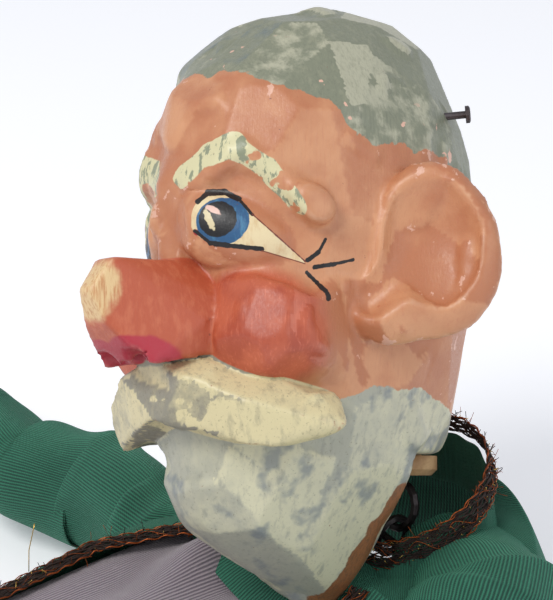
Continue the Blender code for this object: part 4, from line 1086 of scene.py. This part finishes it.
THREAD = plain_material("tinsel_thread", srgb(44, 26, 18), 0.75)
COPPER = plain_material("tinsel_copper", srgb(176, 92, 48), 0.38, 0.85)
GOLD = plain_material("tinsel_gold", srgb(236, 196, 110), 0.22, 1.0)


def strand_mesh(strands, sides=4):
    """Thin round threads as one mesh: each strand is (points, radius)."""
    points, faces = [], []
    for line, radius in strands:
        line = [np.array(p, dtype=float) for p in line]
        base = len(points)
        for n, p in enumerate(line):
            way = unit(line[min(n + 1, len(line) - 1)] - line[max(n - 1, 0)] + 1e-6)
            side = unit(np.cross(way, (0.31, 0.17, 0.93)))
            top = np.cross(side, way)
            for k in range(sides):
                a = 2 * math.pi * k / sides
                points.append((p + (side * math.cos(a) + top * math.sin(a)) * radius) * MM)
        for n in range(len(line) - 1):
            for k in range(sides):
                a, b = base + n * sides + k, base + n * sides + (k + 1) % sides
                faces.append((a, b, b + sides, a + sides))
        faces.append(tuple(base + k for k in reversed(range(sides))))
        faces.append(tuple(base + (len(line) - 1) * sides + k for k in range(sides)))
    return points, faces


def braid(name, path, normal, body, seed, width=BRAID_WIDTH, fuzz=1.0):
    """Tinsel braid along a path: wavy dark threads between two copper wires, with loose gold and copper ends."""
    rng = np.random.default_rng(seed)
    path = [np.array(p, dtype=float) for p in path]
    lengths = np.concatenate([[0], np.cumsum([np.linalg.norm(b - a) for a, b in zip(path, path[1:])])])
    total = lengths[-1]
    steps = int(total / 0.55)
    spots, sides, tops = [], [], []
    for n in range(steps + 1):
        at = total * n / steps
        p = np.array([np.interp(at, lengths, [q[k] for q in path]) for k in range(3)])
        ahead = np.array([np.interp(min(at + 1.5, total), lengths, [q[k] for q in path]) for k in range(3)])
        back = np.array([np.interp(max(at - 1.5, 0), lengths, [q[k] for q in path]) for k in range(3)])
        way = unit(ahead - back + 1e-6)
        top = unit(np.array(normal(p), dtype=float) - way * way.dot(normal(p)))
        spots.append(p)
        tops.append(top)
        sides.append(np.cross(way, top))
    groups = {"thread": [], "copper": [], "gold": []}

    def lay(offset, wave, count, phase, height):
        return [s + side * (offset + wave * math.sin(count * n + phase)) * width / 2
                + top * (height + 0.3 * math.cos(count * n + phase))
                for n, (s, side, top) in enumerate(zip(spots, sides, tops))]

    for k in range(13):
        offset = -0.85 + 1.7 * k / 12
        line = lay(offset, 0.10, 0.5 + 0.1 * rng.random(), rng.uniform(0, 6), 0.25 + 0.25 * rng.random())
        groups["thread"].append((line, 0.26))
    for offset in (-1.0, -0.93, 1.0, 0.93):
        groups["copper"].append((lay(offset, 0.08, 0.7, rng.uniform(0, 6), 0.55), 0.15))
    groups["copper"].append((lay(0.0, 0.6, 0.32, 1.0, 0.7), 0.10))
    for kind, count, reach, radius in (("thread", 0.9, 2.6, 0.10), ("copper", 0.55, 3.4, 0.07),
                                       ("gold", 0.32, 1.6, 0.11)):
        for _ in range(int(total * count * fuzz)):
            n = rng.integers(2, steps - 2)
            start = spots[n] + sides[n] * rng.uniform(-1, 1) * width / 2 + tops[n] * 0.4
            way = unit(tops[n] * rng.uniform(0.3, 1.2) + sides[n] * rng.normal(0, 0.9) + rng.normal(0, 0.5, 3))
            bend = rng.normal(0, 0.35, 3)
            size = reach * rng.uniform(0.3, 1.0)
            end = [start + way * size * t + bend * size * t * t for t in (0, 0.35, 0.7, 1.0)]
            groups[kind].append((end, radius))
    for kind, material in (("thread", THREAD), ("copper", COPPER), ("gold", GOLD)):
        points, faces = strand_mesh(groups[kind])
        piece = mesh_object(name + "_" + kind, points, faces, material)
        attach(piece, body)
        if kind == "thread":
            first = piece
    return first


def up_normal(point):
    return np.array((0.0, 0.0, 1.0))


def collar_normal(point):
    return unit(np.array((point[0] - COLLAR_MIDDLE[0], point[1] - COLLAR_MIDDLE[1], 9.0)))


collar_path = [collar_point(a, COLLAR_RADIUS + 0.8, 1.6)
               for a in np.linspace(-0.42 * math.pi, 1.42 * math.pi, 60)]
collar = braid("collar_braid", collar_path, collar_normal, "torso", 5, width=7.0, fuzz=2.2)
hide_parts("collar_trim")
for kind in ("thread", "copper", "gold"):
    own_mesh(bpy.data.objects["collar_braid_" + kind])
for side, s in (("left", 1), ("right", -1)):
    path = [front_edge(v, s) + np.array((-s * 1.2, 0, 1.0)) for v in np.linspace(0.01, 0.97, 50)]
    strip = braid("front_braid_" + side, path, up_normal, "torso", 60 + s)
    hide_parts("front_trim_" + side)
# a loose wire that stands up from the right front
loose_line = [(-50.5, -31, 32), (-52.5, -29.5, 37), (-54.0, -27.5, 40), (-54.2, -26.5, 43)]
loose_points, loose_faces = strand_mesh([(loose_line, 0.13)], 6)
loose = mesh_object("loose_wire", loose_points, loose_faces, GOLD)
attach(loose, "torso")


# ---------------------------------------------------------------- finishes of the CAD nodes that stay
def object_finish(name, color, dark, roughness, metallic=0.0, grain=(1, 1, 1), bump=0.06):
    """Noise finish in the model's own coordinates: broad tone, fine grain, small dents."""
    s = Shader(name, roughness, metallic)
    spot = s.node("ShaderNodeTexCoord").outputs["Object"]
    fine = s.noise(spot, 900.0, 5.0, 0.65, stretch=grain)
    broad = s.noise(spot, 90.0, 4.0, 0.6, seed=0.3)
    tint = s.mix(s.ramp(broad, 0.35, 0.7), color, dark)
    tint = s.mix(s.ramp(fine, 0.5, 0.75, 0.0, 0.5), tint, dark)
    s.put(s.bsdf.inputs["Base Color"], tint)
    s.put(s.bsdf.inputs["Roughness"], s.ramp(fine, 0.3, 0.7, roughness - 0.08, roughness + 0.1))
    s.add_bump(fine, bump * MM)
    return s.material


WOOD = object_finish("bare_limewood", srgb(206, 170, 124), srgb(160, 118, 76), 0.62, grain=(1, 0.08, 1))
IRON = object_finish("dark_iron", srgb(74, 70, 70), srgb(38, 32, 32), 0.45, metallic=0.9)
RUSTY = object_finish("nail_iron", srgb(96, 90, 92), srgb(52, 40, 38), 0.38, metallic=0.9)
HAND = object_finish("hand_paint", srgb(208, 150, 112), srgb(178, 112, 80), 0.45, grain=(0.3, 1, 1))
BOOT = object_finish("boot_paint", srgb(56, 44, 38), srgb(30, 24, 22), 0.40)
FINISHES = (("nail", RUSTY), ("eye", IRON), ("pin", IRON), ("ring", IRON), ("link", IRON), ("staple", IRON),
            ("hand", HAND), ("boot", BOOT), ("", WOOD))
for node_name, node_object in frame["nodes"].items():
    finish = next(material for key, material in FINISHES if key in node_name)
    for material_slot in node_object.material_slots:
        material_slot.material = finish


CAMERA_AZIMUTH, CAMERA_ELEVATION = math.radians(54.2), math.radians(28.0)
CAMERA_DISTANCE = 0.450
FOCAL_LENGTH = 117.2         # mm on a 36 mm wide sensor

crown = axis_foot + head_up * 134.0 * MM
camera_right = Vector((math.cos(CAMERA_AZIMUTH), math.sin(CAMERA_AZIMUTH), 0.0))
camera_back = Vector((math.sin(CAMERA_AZIMUTH) * math.cos(CAMERA_ELEVATION),
                      -math.cos(CAMERA_AZIMUTH) * math.cos(CAMERA_ELEVATION), math.sin(CAMERA_ELEVATION)))
target = crown - head_up * 73.0 * MM - camera_right * 7.4 * MM
camera_data = bpy.data.cameras.new("camera")
camera_data.sensor_fit = "HORIZONTAL"
camera_data.sensor_width = 36.0
camera_data.lens = FOCAL_LENGTH
camera_data.clip_start = 0.01
camera = bpy.data.objects.new("camera", camera_data)
camera.matrix_world = Matrix.Translation(target + camera_back * CAMERA_DISTANCE) @ \
    camera_back.to_track_quat("Z", "Y").to_matrix().to_4x4()
bpy.context.scene.collection.objects.link(camera)
bpy.context.scene.camera = camera

floor_shader = Shader("floor", roughness=0.9)
floor_shader.bsdf.inputs["Base Color"].default_value = (0.90, 0.91, 0.94, 1.0)
floor_shader.bsdf.inputs["Emission Color"].default_value = (0.95, 0.96, 1.0, 1.0)
floor_shader.bsdf.inputs["Emission Strength"].default_value = 0.22
FLOOR_HALF = 40.0
floor_z = -3.2 * MM
floor_corners = [(x * FLOOR_HALF, y * FLOOR_HALF, floor_z) for x, y in ((-1, -1), (1, -1), (1, 1), (-1, 1))]
floor = mesh_object("floor", floor_corners, [(0, 1, 2, 3)], floor_shader.material)

world = bpy.data.worlds.new("world")
world.use_nodes = True
world.node_tree.nodes["Background"].inputs["Color"].default_value = (0.93, 0.95, 1.0, 1.0)
world.node_tree.nodes["Background"].inputs["Strength"].default_value = 0.58
bpy.context.scene.world = world


def area_light(name, position, size, power, color=(1, 1, 1)):
    data = bpy.data.lights.new(name, "AREA")
    data.shape = "DISK"
    data.size, data.energy, data.color = size, power, color
    light = bpy.data.objects.new(name, data)
    position = target + Vector(position)
    light.matrix_world = Matrix.Translation(position) @ \
        (position - target).to_track_quat("Z", "Y").to_matrix().to_4x4()
    bpy.context.scene.collection.objects.link(light)


area_light("key", camera_back * 0.5 - camera_right * 0.55 + Vector((0, 0, 0.75)), 0.55, 8.0, (1.0, 0.98, 0.95))
area_light("fill", camera_back * 0.6 + camera_right * 0.8 + Vector((0, 0, 0.25)), 0.8, 2.0, (0.92, 0.96, 1.0))
bpy.context.scene.view_settings.view_transform = "Standard"
